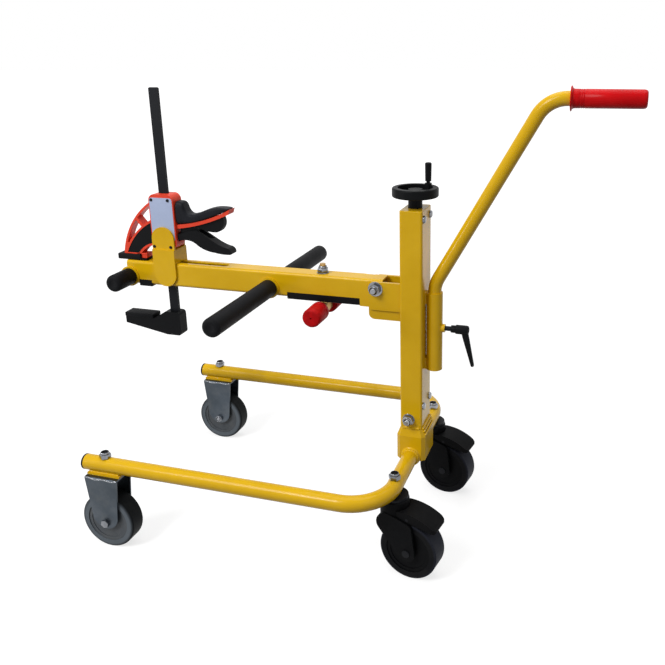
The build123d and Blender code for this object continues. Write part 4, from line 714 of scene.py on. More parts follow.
@dataclass(frozen=True)
class TreadRubber(Finish):
    """Tyre compound whose colour turns to a tread colour towards the running surface; on the grey
    front tyres that tread colour is painted shade.
    """

    hub: Point = (0.0, 0.0, LAYOUT.axle_z)
    turn: float = 0.0
    inner: float = 0.044
    outer: float = 0.0495
    # Colour at the running surface, painted shade on the grey front tyres.
    tread: Colour = (0.02, 0.02, 0.022)

    def tint(self, graph: Graph, kit: TextureKit, colour: Socket) -> Socket:
        """Colour that turns to the tread colour towards the running surface, painted shade on the
        front tyres.

        Args:
            graph: Nodes of the material.
            kit: Shared node groups; not used.
            colour: Colour of the tyre's sides.

        Returns:
            The colour of the tyre.
        """
        inputs = {"Vector": graph.coords, "Location": self.hub, "Rotation": (0.0, 0.0, self.turn)}
        place = graph.node("ShaderNodeMapping", inputs, vector_type="TEXTURE").outputs["Vector"]
        inputs = {0: place, 1: (1.0, 0.0, 1.0)}
        flat = graph.node("ShaderNodeVectorMath", inputs, operation="MULTIPLY").outputs["Vector"]
        reach = graph.node("ShaderNodeVectorMath", {0: flat}, operation="LENGTH").outputs["Value"]
        fade = graph.ranged(reach, start=self.inner, end=self.outer)
        return graph.mix(fade, colour, self.tread)


class Finishes:
    """All finishes of the trolley, as materials made once."""

    rear_hub_x: float = 0.140529
    rear_hub_y: tuple[float, float] = (-0.135383, 0.124617)
    rear_turn: float = -10.0

    def __init__(self, kit: TextureKit) -> None:
        """Make the materials.

        Args:
            kit: Shared node groups.
        """
        self.yellow_paint = Finish(
            "yellow_powder_coat", (0.66, 0.395, 0.004), (0.6, 0.35, 0.003), 0.2, spread=0.05,
            grain=520.0, strength=0.18, depth=0.00005, scuffs=0.16,
            scuff_colour=(0.5, 0.3, 0.01), dust=0.03, specular=0.16,
        ).material(kit)
        self.zinc = DrawnMetal(
            "zinc_plate", (0.34, 0.35, 0.375), (0.21, 0.22, 0.24), 0.2, metallic=1.0,
            cloud=(0.12, 0.128, 0.142), strength=0.2, depth=0.00004, scuffs=0.4,
            scuff_colour=(0.55, 0.55, 0.56), dust=0.05,
        ).material(kit)
        self.fork_zinc = DrawnMetal(
            "pressed_zinc_sheet", (0.085, 0.1, 0.12), (0.055, 0.067, 0.08), 0.36, metallic=1.0,
            lines=34.0, cloud=(0.045, 0.055, 0.066), strength=0.3, dust=0.12, scuffs=0.4,
            scuff_colour=(0.3, 0.31, 0.33),
        ).material(kit)
        self.black_steel = Finish(
            "black_oxide_steel", (0.006, 0.0066, 0.0085), (0.01, 0.0108, 0.0135), 0.4,
            metallic=0.1, grain=900.0, scuffs=0.25, scuff_colour=(0.035, 0.035, 0.038), dust=0.02,
            specular=0.08,
        ).material(kit)
        self.bright_steel = DrawnMetal(
            "turned_steel", (0.5, 0.5, 0.51), (0.4, 0.4, 0.41), 0.26, metallic=1.0,
            lines=90.0, cloud=(0.3, 0.3, 0.31), dust=0.1,
        ).material(kit)
        self.bronze = DrawnMetal(
            "machined_bronze", (0.6, 0.38, 0.13), (0.46, 0.28, 0.09), 0.36, metallic=1.0,
            lines=80.0, cloud=(0.34, 0.21, 0.08), dust=0.2,
        ).material(kit)
        self.black_plastic = Finish(
            "black_moulded_plastic", (0.0032, 0.0035, 0.0042), (0.0055, 0.0058, 0.0068), 0.42,
            grain=1500.0, strength=0.4, depth=0.00008, scuffs=0.12,
            scuff_colour=(0.02, 0.02, 0.022), dust=0.015, specular=0.06,
        ).material(kit)
        self.castor_plastic = Finish(
            "castor_housing_plastic", (0.0022, 0.0023, 0.0027), (0.0036, 0.0038, 0.0044), 0.5,
            grain=1300.0, strength=0.4, depth=0.00008, scuffs=0.1,
            scuff_colour=(0.014, 0.014, 0.016), dust=0.01, specular=0.04,
        ).material(kit)
        self.grey_plastic = Finish(
            "grey_wheel_core", (0.062, 0.07, 0.08), (0.046, 0.053, 0.061), 0.42,
            grain=1100.0, strength=0.3, scuffs=0.4, scuff_colour=(0.14, 0.14, 0.15), dust=0.1,
            specular=0.25,
        ).material(kit)
        self.black_rubber = Finish(
            "black_rubber", (0.0036, 0.0038, 0.0046), (0.006, 0.0063, 0.0075), 0.54,
            grain=1100.0, mottle=26.0, strength=0.5, depth=0.0001, scuffs=0.1,
            scuff_colour=(0.02, 0.02, 0.023), dust=0.02, specular=0.06,
        ).material(kit)
        self.grip_rubber = Finish(
            "overmoulded_grip_rubber", (0.0055, 0.0062, 0.0085), (0.0095, 0.0106, 0.0145), 0.42,
            grain=2100.0, mottle=30.0, strength=0.55, depth=0.00008, scuffs=0.06, dust=0.02,
            specular=0.08,
        ).material(kit)
        self.red_vinyl = Finish(
            "red_soft_vinyl", (0.56, 0.003, 0.005), (0.47, 0.002, 0.004), 0.26,
            grain=800.0, mottle=40.0, strength=0.2, depth=0.00005, scuffs=0.12,
            scuff_colour=(0.48, 0.01, 0.012), dust=0.01, specular=0.08,
        ).material(kit)
        self.red_cap = Finish(
            "red_rough_rubber", (0.5, 0.004, 0.006), (0.34, 0.003, 0.004), 0.5,
            grain=950.0, mottle=120.0, strength=0.8, depth=0.0002, scuffs=0.15,
            scuff_colour=(0.36, 0.012, 0.012), dust=0.02, specular=0.09,
        ).material(kit)
        self.orange_plastic = Finish(
            "orange_moulded_plastic", (0.74, 0.058, 0.024), (0.66, 0.046, 0.018), 0.36,
            grain=1300.0, mottle=25.0, strength=0.25, scuffs=0.2,
            scuff_colour=(0.78, 0.15, 0.1), dust=0.03, specular=0.2,
        ).material(kit)
        self.label_grey = DrawnMetal(
            "satin_grey_plate", (0.38, 0.44, 0.61), (0.33, 0.39, 0.55), 0.42, metallic=0.1,
            lines=70.0, cloud=(0.35, 0.41, 0.57), strength=0.12, scuffs=0.3, dust=0.05,
            specular=0.25,
        ).material(kit)
        self.front_tyres = {
            side: TreadRubber(
                f"grey_tyre_{label}", (0.125, 0.143, 0.163), (0.1, 0.116, 0.133), 0.55,
                grain=900.0, strength=0.4, dust=0.02, scuffs=0.1,
                scuff_colour=(0.12, 0.12, 0.13),
                hub=(LAYOUT.castor_x, side * LAYOUT.leg_y, LAYOUT.axle_z),
                # Near-black tread: painted shade on the running surface.
                tread=(0.004, 0.005, 0.006), specular=0.06,
            ).material(kit)
            for side, label in SIDE_NAMES.items()
        }
        self.rear_tyres = {
            side: TreadRubber(
                f"black_tyre_{label}", (0.0035, 0.0037, 0.0044), (0.0055, 0.0058, 0.0068), 0.55,
                grain=900.0, strength=0.4, dust=0.02, scuffs=0.12,
                scuff_colour=(0.02, 0.02, 0.023),
                hub=(self.rear_hub_x, hub_y, LAYOUT.axle_z), turn=math.radians(self.rear_turn),
                inner=0.0455, tread=(0.016, 0.018, 0.026), specular=0.05,
            ).material(kit)
            for (side, label), hub_y in zip(SIDE_NAMES.items(), self.rear_hub_y)
        }


@dataclass
class Dresser:
    """Gives the carried-over solids their finishes and places new pieces."""

    finishes: Finishes

    def paint(self, material: bpy.types.Material, nodes: Iterable[str]) -> None:
        """Give solids a finish.

        Args:
            material: The finish.
            nodes: Names of the solids.
        """
        for name in nodes:
            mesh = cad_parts[name].data
            mesh.materials.clear()
            mesh.materials.append(material)
            LOG.info("painted %s with %s", name, material.name)

    def place(
        self,
        piece: Piece,
        body: Body,
        material: bpy.types.Material,
        slot: str,
        replaces: Sequence[str] = (),
    ) -> None:
        """Finish a new piece and let it ride on its body.

        Args:
            piece: The piece at the origin.
            body: Body that carries it.
            material: Its finish.
            slot: Material slot of the record for its finish; not used.
            replaces: Solids that it stands for.
        """
        piece.data.materials.clear()
        piece.data.materials.append(material)
        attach(piece, body.value)
        if replaces:
            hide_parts(*replaces)
        LOG.info("placed %s on %s", piece.name, body.value)


class Section(ABC):
    """One group of the trolley's pieces."""

    @abstractmethod
    def build(self, dresser: Dresser) -> None:
        """Model and place new pieces and paint the solids that stay."""


@dataclass
class Steelwork(Section):
    """Painted frame, mast, carriage, arm and saddle with their weld beads."""

    mast_rear_x: float = 0.129
    mast_half_w: float = 0.03
    mast_foot_z: float = 0.205
    mast_bead_l: float = 0.03
    socket_half_w: float = 0.038
    sleeve_tabs: tuple[float, float] = (0.3075, 0.4233)
    tab_h: float = 0.02
    tab_half_w: float = 0.007
    plate_l: float = 0.058
    plate_weld_y: float = 0.0085
    plate_weld_rise: float = 0.0012
    bead_r: float = 0.0022
    start_share: float = 0.45
    end_share: float = 0.4
    crest_at: float = 0.3
    dip_at: float = 0.9
    dip_share: float = 0.8
    ripple_turn: float = 15.0
    ripple_share: float = 0.4
    ripple_rise: float = 0.22
    foot_runs: tuple[tuple[float, float, float, int], ...] = (
        (0.1298, 0.2045, 0.0026, 11), (0.1322, 0.1995, 0.0024, 13), (0.1345, 0.194, 0.0022, 15),
    )
    foot_run_l: float = 0.056
    ledge_x: float = -0.364
    ledge_l: float = 0.03
    ledge_y: float = 0.0186
    ledge_z: float = 0.4852
    ledge_r: float = 0.0015

    def bead(self, name: str, length: float, radius: float, ripples: int) -> Piece:
        """Model a straight weld bead along +Z.

        Args:
            name: Name of the bead.
            length: Length of the bead.
            radius: Radius at the crest of a ripple.
            ripples: Number of ripples.

        Returns:
            The bead, standing on z = 0.
        """
        step = length / ripples
        profile = [(0.0, radius * self.start_share)]
        for i in range(ripples):
            profile.append(((i + self.crest_at) * step, radius))
            profile.append(((i + self.dip_at) * step, radius * self.dip_share))
        profile.append((length, radius * self.end_share))
        return Workbench.turned(name, profile, segments=10)

    def ring(self, name: str, radius: float) -> Piece:
        """Model a weld bead round a tube about +Z.

        Args:
            name: Name of the bead.
            radius: Radius of the tube.

        Returns:
            The bead at the origin.
        """
        Workbench.clear()
        bpy.ops.mesh.primitive_torus_add(
            major_radius=radius, minor_radius=self.bead_r, major_segments=72, minor_segments=10
        )
        piece = Workbench.started(name)
        with Workbench.editing():
            bpy.ops.mesh.select_mode(type="VERT")
            bpy.ops.mesh.select_all(action="DESELECT")
        for vertex in piece.data.vertices:
            turn = math.degrees(math.atan2(vertex.co.y, vertex.co.x)) % self.ripple_turn
            vertex.select = turn < self.ripple_share * self.ripple_turn
        bpy.ops.object.mode_set(mode="EDIT")
        bpy.ops.transform.shrink_fatten(value=self.bead_r * self.ripple_rise)
        bpy.ops.object.mode_set(mode="OBJECT")
        return piece

    def build(self, dresser: Dresser) -> None:
        """Build the weld beads and paint the steelwork.

        Args:
            dresser: Gives finishes and places pieces.
        """
        yellow = dresser.finishes.yellow_paint
        dresser.paint(
            yellow,
            (
                "base_frame", "mast_socket", "mast", "mast_cap", "carriage", "arm",
                "clamp_saddle", "handle_sleeve", "handle_tube",
            ),
        )
        bead = self.ring("socket_ring", LAYOUT.tube_r)
        places = paired(LAYOUT.mast_x, self.socket_half_w, LAYOUT.frame_z, Axis.RIGHT)
        beads = Workbench.copies(bead, places)
        bead = self.bead("tab_bead", self.tab_h, self.bead_r, ripples=6)
        places = [
            at((self.mast_rear_x, side * self.tab_half_w, foot_z))
            for side in SIDES
            for foot_z in self.sleeve_tabs
        ]
        beads += Workbench.copies(bead, places)
        bead = self.bead("plate_bead", self.plate_l, self.bead_r, ripples=18)
        plate_x = LAYOUT.castor_x - self.plate_l / 2
        plate_z = LAYOUT.frame_z - LAYOUT.tube_r + self.plate_weld_rise
        places = [
            at((plate_x, leg * LAYOUT.leg_y + edge * self.plate_weld_y, plate_z), Axis.REAR)
            for leg in SIDES
            for edge in SIDES
        ]
        beads += Workbench.copies(bead, places)
        bead = self.bead("mast_side_bead", self.mast_bead_l, self.bead_r, ripples=9)
        bead_x = LAYOUT.mast_x - self.mast_bead_l / 2
        places = paired(bead_x, self.mast_half_w, self.mast_foot_z, Axis.REAR)
        beads += Workbench.copies(bead, places)
        for x, z, radius, ripples in self.foot_runs:
            run = self.bead("foot_run", self.foot_run_l, radius, ripples)
            beads.append(Workbench.settle(run, at((x, -self.foot_run_l / 2, z), Axis.RIGHT)))
        welds = Workbench.join("frame_weld_beads", beads)
        dresser.place(welds, Body.CHASSIS, yellow, "yellow_paint")
        bead = self.bead("ledge_bead", self.ledge_l, self.ledge_r, ripples=7)
        places = paired(self.ledge_x, self.ledge_y, self.ledge_z, Axis.REAR)
        welds = Workbench.join("saddle_weld_beads", Workbench.copies(bead, places))
        dresser.place(welds, Body.CLAMP, yellow, "yellow_paint")


@dataclass(frozen=True)
class Thread:
    """Sizes of the bolts and lock-nuts of one thread."""

    flats: float
    head_h: float
    nut_h: float
    radius: float


M10 = Thread(flats=0.017, head_h=0.0065, nut_h=0.011, radius=0.005)
M8 = Thread(flats=0.013, head_h=0.0053, nut_h=0.008, radius=0.004)


@dataclass
class Fasteners(Section):
    """Hex bolts, self-locking nuts and washers of the chassis, pivot and stop."""

    washer_r: float = 0.0105
    pivot_washer_r: float = 0.0125
    washer_t: float = 0.0016
    nut_seat: float = 0.0017
    pitch: float = 0.0015
    thread_l: float = 0.018
    collar_share: float = 0.42
    hex_share: float = 0.68
    nut_chamfer: float = 0.045
    head_chamfer: float = 0.05
    nut_turn: float = 17.0
    castor_bolt_z: float = 0.13355
    castor_bolt_l: float = 0.0409
    axle_bolt_l: float = 0.049
    fork_inner_y: float = 0.1795
    fork_outer_y: float = 0.2205
    rear_castor_y: float = 0.13
    socket_x: float = 0.106
    socket_y: float = 0.03
    socket_z: float = 0.221
    socket_bolt_l: float = 0.0766
    pivot_x: float = 0.048
    pivot_y: float = 0.0235
    pivot_z: float = 0.448
    pivot_bolt_l: float = 0.0636

    def lock_nut(self, thread: Thread) -> Piece:
        """Model a lock-nut standing on z = 0, its collar open for a soft ring.

        Args:
            thread: Sizes of the nut.

        Returns:
            The nut at the origin.
        """
        height, bore = thread.nut_h, thread.radius
        hex_h = height * self.hex_share
        collar = thread.flats * self.collar_share
        chamfer = thread.flats * self.nut_chamfer
        body = Workbench.hexagon("nut_hex", thread.flats, hex_h, chamfer)
        ring = Workbench.turned(
            "nut_collar",
            (
                (hex_h - 0.0005, collar * 0.96),
                (hex_h + 0.0004, collar),
                (height - 0.0012, collar),
                (height - 0.0004, collar * 0.95),
                (height, collar * 0.9),
                (height - 0.0002, collar * 0.86),
                (height - 0.0024, collar * 0.85),
                (height - 0.0026, bore * 1.02),
                (hex_h, bore * 0.98),
            ),
            segments=40,
        )
        return Workbench.join("lock_nut", [body, ring])

    def nut_insert(self, thread: Thread) -> Piece:
        """Model the soft locking ring that a nut's collar holds.

        Args:
            thread: Sizes of the nut.

        Returns:
            The ring, in the place it has in a nut standing on z = 0.
        """
        height, bore = thread.nut_h, thread.radius
        outer = thread.flats * self.collar_share * 0.84
        return Workbench.turned(
            "nut_insert",
            (
                (height - 0.0022, bore * 0.9),
                (height - 0.0023, bore),
                (height - 0.0023, outer),
                (height - 0.0005, outer),
                (height - 0.0003, outer * 0.96),
                (height - 0.0004, bore * 1.05),
                (height - 0.0009, bore * 0.92),
                (height - 0.0016, bore * 0.9),
            ),
            segments=40,
        )

    def bolt(self, thread: Thread, length: float) -> Piece:
        """Model a hex bolt along +Z with the underside of its head on z = 0.

        Args:
            thread: Sizes of the bolt.
            length: Length of the shank.

        Returns:
            The bolt at the origin.
        """
        head, shank = thread.head_h, thread.radius
        chamfer = thread.flats * self.head_chamfer
        cap = Workbench.hexagon("bolt_hex", thread.flats, head, chamfer)
        Workbench.settle(cap, at((0.0, 0.0, -head)))
        thread_from = max(0.0, length - self.thread_l)
        profile = [(-head * 0.5, shank), (thread_from, shank)]
        turns = int((length - thread_from) / self.pitch) - 1
        for i in range(turns):
            profile.append((thread_from + (i + 0.5) * self.pitch, shank * 0.9))
            profile.append((thread_from + (i + 1.0) * self.pitch, shank))
        profile += [(length - 0.0007, shank * 0.94), (length, shank * 0.78)]
        rod = Workbench.turned("bolt_rod", profile, segments=24)
        return Workbench.join("bolt", [cap, rod])

    def washer(self, outer: float) -> Piece:
        """Model a flat washer lying on z = 0 with rounded rims.

        Args:
            outer: Radius of the washer.

        Returns:
            The washer at the origin.
        """
        inner = M10.radius + 0.0002
        return Workbench.turned(
            "washer",
            (
                (self.washer_t - 0.0002, inner),
                (0.0, inner),
                (0.0, outer - 0.0003),
                (0.0003, outer),
                (self.washer_t - 0.0003, outer),
                (self.washer_t, outer - 0.0003),
                (self.washer_t, inner + 0.0001),
                (self.washer_t - 0.0001, inner + 0.00005),
            ),
            segments=40,
        )

    def build(self, dresser: Dresser) -> None:
        """Build all fasteners in their groups.

        Args:
            dresser: Gives finishes and places pieces.
        """
        zinc = dresser.finishes.zinc
        inward = {side: Axis.LEFT if side > 0 else Axis.RIGHT for side in SIDES}
        stems = ((LAYOUT.castor_x, LAYOUT.leg_y), (LAYOUT.mast_x, self.rear_castor_y))
        spots = [(x, side * y, LAYOUT.tube_top_z) for x, y in stems for side in SIDES]
        places = [at(spot, spin=self.nut_turn * number) for number, spot in enumerate(spots)]
        socket_nut_y, pivot_nut_y = -self.socket_y - self.nut_seat, -self.pivot_y - self.nut_seat
        places += [
            at((self.socket_x, socket_nut_y, self.socket_z), Axis.LEFT, spin=22.0),
            at((self.pivot_x, pivot_nut_y, self.pivot_z), Axis.LEFT, spin=8.0),
            at((LAYOUT.stop_x, 0.0, LAYOUT.arm_top_z + self.nut_seat), spin=12.0),
        ]
        *chassis, pivot_nut, stop_nut = Workbench.copies(self.lock_nut(M10), places, Smooth.CRISP)
        *rings, pivot_ring, stop_ring = Workbench.copies(self.nut_insert(M10), places, Smooth.SOFT)
        places = [
            at((LAYOUT.castor_x, side * self.fork_inner_y, LAYOUT.axle_z), inward[side], spin=9.0)
            for side in SIDES
        ]
        chassis += Workbench.copies(self.lock_nut(M8), places, Smooth.CRISP)
        places = [
            at((self.socket_x, -self.socket_y, self.socket_z), Axis.LEFT),
            at((LAYOUT.stop_x, 0.0, LAYOUT.arm_top_z)),
        ]
        washer = self.washer(self.washer_r)
        socket_washer, stop_washer = Workbench.copies(washer, places, Smooth.CRISP)
        chassis.append(socket_washer)
        place = at((self.pivot_x, -self.pivot_y, self.pivot_z), Axis.LEFT)
        pivot_washer = Workbench.settle(self.washer(self.pivot_washer_r), place, Smooth.CRISP)

        places = paired(LAYOUT.castor_x, LAYOUT.leg_y, self.castor_bolt_z)
        bolts = Workbench.copies(self.bolt(M10, self.castor_bolt_l), places, Smooth.CRISP)
        places = [
            at((LAYOUT.castor_x, side * self.fork_outer_y, LAYOUT.axle_z), inward[side], spin=14.0)
            for side in SIDES
        ]
        bolts += Workbench.copies(self.bolt(M8, self.axle_bolt_l), places, Smooth.CRISP)
        place = at((self.socket_x, self.socket_y, self.socket_z), Axis.LEFT, spin=5.0)
        bolts.append(Workbench.settle(self.bolt(M10, self.socket_bolt_l), place, Smooth.CRISP))
        place = at((self.pivot_x, self.pivot_y, self.pivot_z), Axis.LEFT, spin=11.0)
        pivot = Workbench.settle(self.bolt(M10, self.pivot_bolt_l), place, Smooth.CRISP)

        for name, pieces, body, node in (
            ("chassis_lock_nuts", chassis, Body.CHASSIS, "lock_nuts"),
            ("chassis_hex_bolts", bolts, Body.CHASSIS, "chassis_bolts"),
            ("pivot_hex_bolt", [pivot], Body.LIFT, "pivot_bolt"),
            ("pivot_lock_nut", [pivot_washer, pivot_nut], Body.LIFT, "pivot_nut"),
            ("stop_lock_nut", [stop_washer, stop_nut], Body.ARM, "stop_nut"),
        ):
            dresser.place(Workbench.join(name, pieces), body, zinc, "zinc", [node])
        plastic = dresser.finishes.black_plastic
        for name, pieces, body in (
            ("chassis_nut_rings", rings, Body.CHASSIS),
            ("pivot_nut_ring", [pivot_ring], Body.LIFT),
            ("stop_nut_ring", [stop_ring], Body.ARM),
        ):
            dresser.place(Workbench.join(name, pieces), body, plastic, "black_plastic")
        dresser.paint(zinc, ("bearing_screws",))
        dresser.paint(
            dresser.finishes.black_steel,
            ("rear_castor_stems", "rear_castor_pins_left", "rear_castor_pins_right"),
        )


@dataclass
class Castors(Section):
    """Fixed front castors and braked swivel castors."""

    fork_half_l: float = 0.0315
    fork_top_z: float = 0.13605
    fork_half_w: float = 0.0205
    rim_steps: int = 28
    rim_drop: float = 0.0034
    rim_h: float = 0.0021
    rim_half_t: float = 0.0007
    rim_corner: float = 0.35
    wave_h: float = 0.0009
    waves: float = 2.0
    wave_start: float = 0.6
    bow_h: float = 0.0012
    end_gap: float = 0.0005

    def rim(self) -> Piece:
        """Model the wavy rim along the top of a fork face, at y = 0, a strip for a painted
        highlight on the fork's bent edge.

        Returns:
            The rim.
        """
        stations = []
        for i in range(self.rim_steps + 1):
            share = i / self.rim_steps
            ahead = 2 * share - 1
            wave = self.wave_h * math.sin(share * math.tau * self.waves + self.wave_start)
            low = self.fork_top_z - self.rim_drop + (wave + self.bow_h * ahead**2)
            x = LAYOUT.castor_x + ahead * (self.fork_half_l - self.end_gap)
            stations.append((x, low, low + self.rim_h, self.rim_half_t))
        return Workbench.drawn("fork_rim_highlight", stations, self.rim_corner)

    def build(self, dresser: Dresser) -> None:
        """Build the fork rims, bright zinc strips that paint a highlight on the forks' bent top
        edges, and paint wheels, forks and housings.

        Args:
            dresser: Gives finishes and places pieces.
        """
        finishes = dresser.finishes
        places = [
            at((0.0, side * LAYOUT.leg_y + face * self.fork_half_w, 0.0))
            for side in SIDES
            for face in SIDES
        ]
        rims = Workbench.copies(self.rim(), places)
        # Bright zinc on the rims is a painted highlight along the forks' bent top edges.
        dresser.place(Workbench.join("fork_rim_highlights", rims), Body.CHASSIS, finishes.zinc, "zinc")
        for side, label in SIDE_NAMES.items():
            dresser.paint(finishes.fork_zinc, (f"front_fork_{label}",))
            dresser.paint(finishes.grey_plastic, (f"front_wheel_{label}",))
            dresser.paint(finishes.front_tyres[side], (f"front_tyre_{label}",))
            dresser.paint(
                finishes.castor_plastic,
                (f"rear_castor_{label}", f"brake_pedal_{label}", f"rear_wheel_{label}"),
            )
            dresser.paint(finishes.rear_tyres[side], (f"rear_tyre_{label}",))
        dresser.paint(finishes.black_plastic, ("tube_end_plugs",))


@dataclass
class ScrewLift(Section):
    """Threaded spindle with its nut, bearings and handwheel."""

    core_r: float = 0.0062
    crest_r: float = 0.008
    journal_r: float = 0.006
    foot_z: float = 0.24
    thread_from: float = 0.2523
    thread_to: float = 0.5557
    top_z: float = 0.611
    pitch: float = 0.004

    def closing_edge(self, middle: Vector, way: Vector) -> bool:
        """Tell the edge that closes the tooth's outline on the spindle's side.

        Args:
            middle: Middle of the edge.
            way: Direction of the edge.

        Returns:
            Whether it is that edge.
        """
        upright = abs(way.x) < 1e-6 and abs(way.z) > 0.99
        halfway = abs(middle.z - self.pitch / 2) < 1e-6
        return upright and halfway and middle.x < (self.core_r + self.crest_r) / 2

    def thread(self) -> Piece:
        """Model the trapezoid thread as one tooth wound up the spindle.

        Returns:
            The thread in its place.
        """
        Workbench.clear()
        bpy.ops.mesh.primitive_circle_add(vertices=6, radius=self.crest_r, fill_type="NOTHING")
        piece = bpy.context.active_object
        piece.name = "spindle_thread"
        tooth = (
            (self.core_r, 0.0),
            (self.core_r, 0.0007),
            (self.crest_r, 0.0013),
            (self.crest_r, 0.0027),
            (self.core_r, 0.0033),
            (self.core_r, self.pitch),
        )
        for vertex, (radius, rise) in zip(piece.data.vertices, tooth):
            vertex.co = (radius, 0.0, rise)
        bpy.ops.object.mode_set(mode="EDIT")
        Workbench.pick_edges(piece, self.closing_edge)
        bpy.ops.mesh.delete(type="EDGE")
        bpy.ops.object.mode_set(mode="OBJECT")
        turns = int((self.thread_to - self.thread_from) / self.pitch) - 1
        Workbench.apply(
            piece, "SCREW", axis="Z", screw_offset=self.pitch, iterations=turns, steps=20,
            render_steps=20, use_merge_vertices=True, merge_threshold=1e-6,
        )
        return Workbench.settle(piece, at((LAYOUT.mast_x, 0.0, self.thread_from)), Smooth.CRISP)

    def build(self, dresser: Dresser) -> None:
        """Build the spindle and paint the rest of the lift.

        Args:
            dresser: Gives finishes and places pieces.
        """
        finishes = dresser.finishes
        core = Workbench.turned(
            "spindle_core",
            (
                (self.foot_z, self.journal_r - 0.0008),
                (self.foot_z + 0.0008, self.journal_r),
                (self.thread_from, self.journal_r),
                (self.thread_from, self.core_r + 0.0006),
                (self.thread_from + 0.001, self.core_r + 0.0001),
                (self.thread_to - 0.004, self.core_r + 0.0001),
                (self.thread_to - 0.004, self.crest_r - 0.0004),
                (self.thread_to - 0.0034, self.crest_r),
                (self.thread_to, self.crest_r),
                (self.thread_to, self.journal_r),
                (self.top_z - 0.0008, self.journal_r),
                (self.top_z, self.journal_r - 0.0008),
            ),
            segments=32,
        )
        Workbench.settle(core, at((LAYOUT.mast_x, 0.0, 0.0)), Smooth.CRISP)
        spindle = Workbench.join("threaded_spindle", [core, self.thread()])
        steel = finishes.bright_steel
        dresser.place(spindle, Body.SPINDLE, steel, "bright_steel", ["lift_spindle"])
        dresser.paint(finishes.bronze, ("lift_nut", "foot_bearing"))
        dresser.paint(finishes.black_plastic, ("handwheel", "handwheel_grip"))


@dataclass
class PushHandle(Section):
    """Red hand grip and the clamping lever of the handle's sleeve."""

    grip_x: float = 0.343
    grip_l: float = 0.107
    grip_z: float = 0.7556
    tube_r: float = 0.0111
    flange_r: float = 0.0185
    body_r: float = 0.0139
    sleeve_x: float = 0.1431
    lever_z: float = 0.3816
    hub_from: float = 0.028
    hub_to: float = 0.058
    hub_r: float = 0.00775
    arm_x: float = 0.05
    tip_x: float = 0.065
    tip_z: float = 0.3205

    def grip(self) -> Piece:
        """Model the hand grip with its thin flange and fine rings.

        Returns:
            The grip in its place.
        """
        profile = [
            (self.grip_l - 0.0037, self.tube_r),
            (0.0, self.tube_r),
            (0.0, self.flange_r - 0.0012),
            (0.0003, self.flange_r - 0.0003),
            (0.0009, self.flange_r),
            (0.0016, self.flange_r - 0.0002),
            (0.0022, self.flange_r - 0.0009),
            (0.0027, self.body_r + 0.0022),
            (0.0036, self.body_r + 0.0009),
            (0.005, self.body_r + 0.0002),
            (0.008, self.body_r),
        ]
        for i in range(3):
            start = 0.0135 + i * 0.003
            profile += [
                (start, self.body_r),
                (start + 0.0005, self.body_r - 0.0004),
                (start + 0.0012, self.body_r - 0.0004),
                (start + 0.0017, self.body_r),
            ]
        profile += [
            (0.06, self.body_r - 0.0001),
            (0.1015, self.body_r - 0.0002),
            (0.1043, self.body_r - 0.0008),
            (0.106, self.body_r - 0.0021),
            (0.1067, self.body_r - 0.0036),
            (0.107, self.body_r - 0.0056),
            (0.107, 0.0025),
            (0.1064, 0.0021),
            (0.1055, 0.0019),
        ]
        piece = Workbench.turned("hand_grip_cover", profile, segments=64)
        return Workbench.settle(piece, at((self.grip_x, 0.0, self.grip_z), Axis.REAR), Smooth.SOFT)

    def lever(self) -> Piece:
        """Model the clamping lever: a stepped hub with a tapered arm.

        Returns:
            The lever in its place.
        """
        length = self.hub_to - self.hub_from
        hub = Workbench.turned(
            "lever_hub",
            (
                (0.018, 0.0041),
                (0.0, 0.0041),
                (0.0, 0.0056),
                (0.0005, 0.0062),
                (0.0075, 0.0064),
                (0.008, 0.0067),
                (0.0082, self.hub_r - 0.0006),
                (0.0088, self.hub_r),
                (length - 0.004, self.hub_r),
                (length - 0.0015, self.hub_r - 0.0005),
                (length - 0.0004, self.hub_r - 0.0017),
                (length, self.hub_r - 0.003),
                (length, 0.0042),
                (length - 0.0008, 0.0038),
            ),
            segments=56,
        )
        place = at((self.sleeve_x + self.hub_from, 0.0, self.lever_z), Axis.REAR)
        Workbench.settle(hub, place, Smooth.SOFT)
        reach = math.hypot(self.tip_x - self.arm_x, self.lever_z - self.tip_z)
        stations = (
            (0.0, -0.0058, 0.0058, 0.004),
            (0.01, -0.0057, 0.0057, 0.004),
            (0.02, -0.0052, 0.0052, 0.004),
            (0.036, -0.0043, 0.0043, 0.004),
            (0.05, -0.0035, 0.0035, 0.004),
            (reach, -0.003, 0.003, 0.0039),
            (reach + 0.0016, -0.0026, 0.0026, 0.0035),
            (reach + 0.0024, -0.0019, 0.0019, 0.0026),
            (reach + 0.0028, -0.001, 0.001, 0.0015),
        )
        arm = Workbench.drawn("lever_arm", stations, corner=0.36)
        Workbench.soften(arm, levels=1)
        fall = math.atan2(self.lever_z - self.tip_z, self.tip_x - self.arm_x)
        place = at((self.sleeve_x + self.arm_x, 0.0, self.lever_z))
        Workbench.settle(arm, place @ Matrix.Rotation(fall, 4, "Y"), Smooth.ROUND)
        return Workbench.join("clamping_lever_cover", [hub, arm])

    def build(self, dresser: Dresser) -> None:
        """Build grip and lever and paint the stud.

        Args:
            dresser: Gives finishes and places pieces.
        """
        finishes = dresser.finishes
        dresser.place(self.grip(), Body.HANDLE, finishes.red_vinyl, "red_grip", ["handle_grip"])
        dresser.place(
            self.lever(), Body.LEVER, finishes.black_plastic, "black_plastic", ["clamping_lever"]
        )
        dresser.paint(finishes.black_steel, ("clamping_stud",))


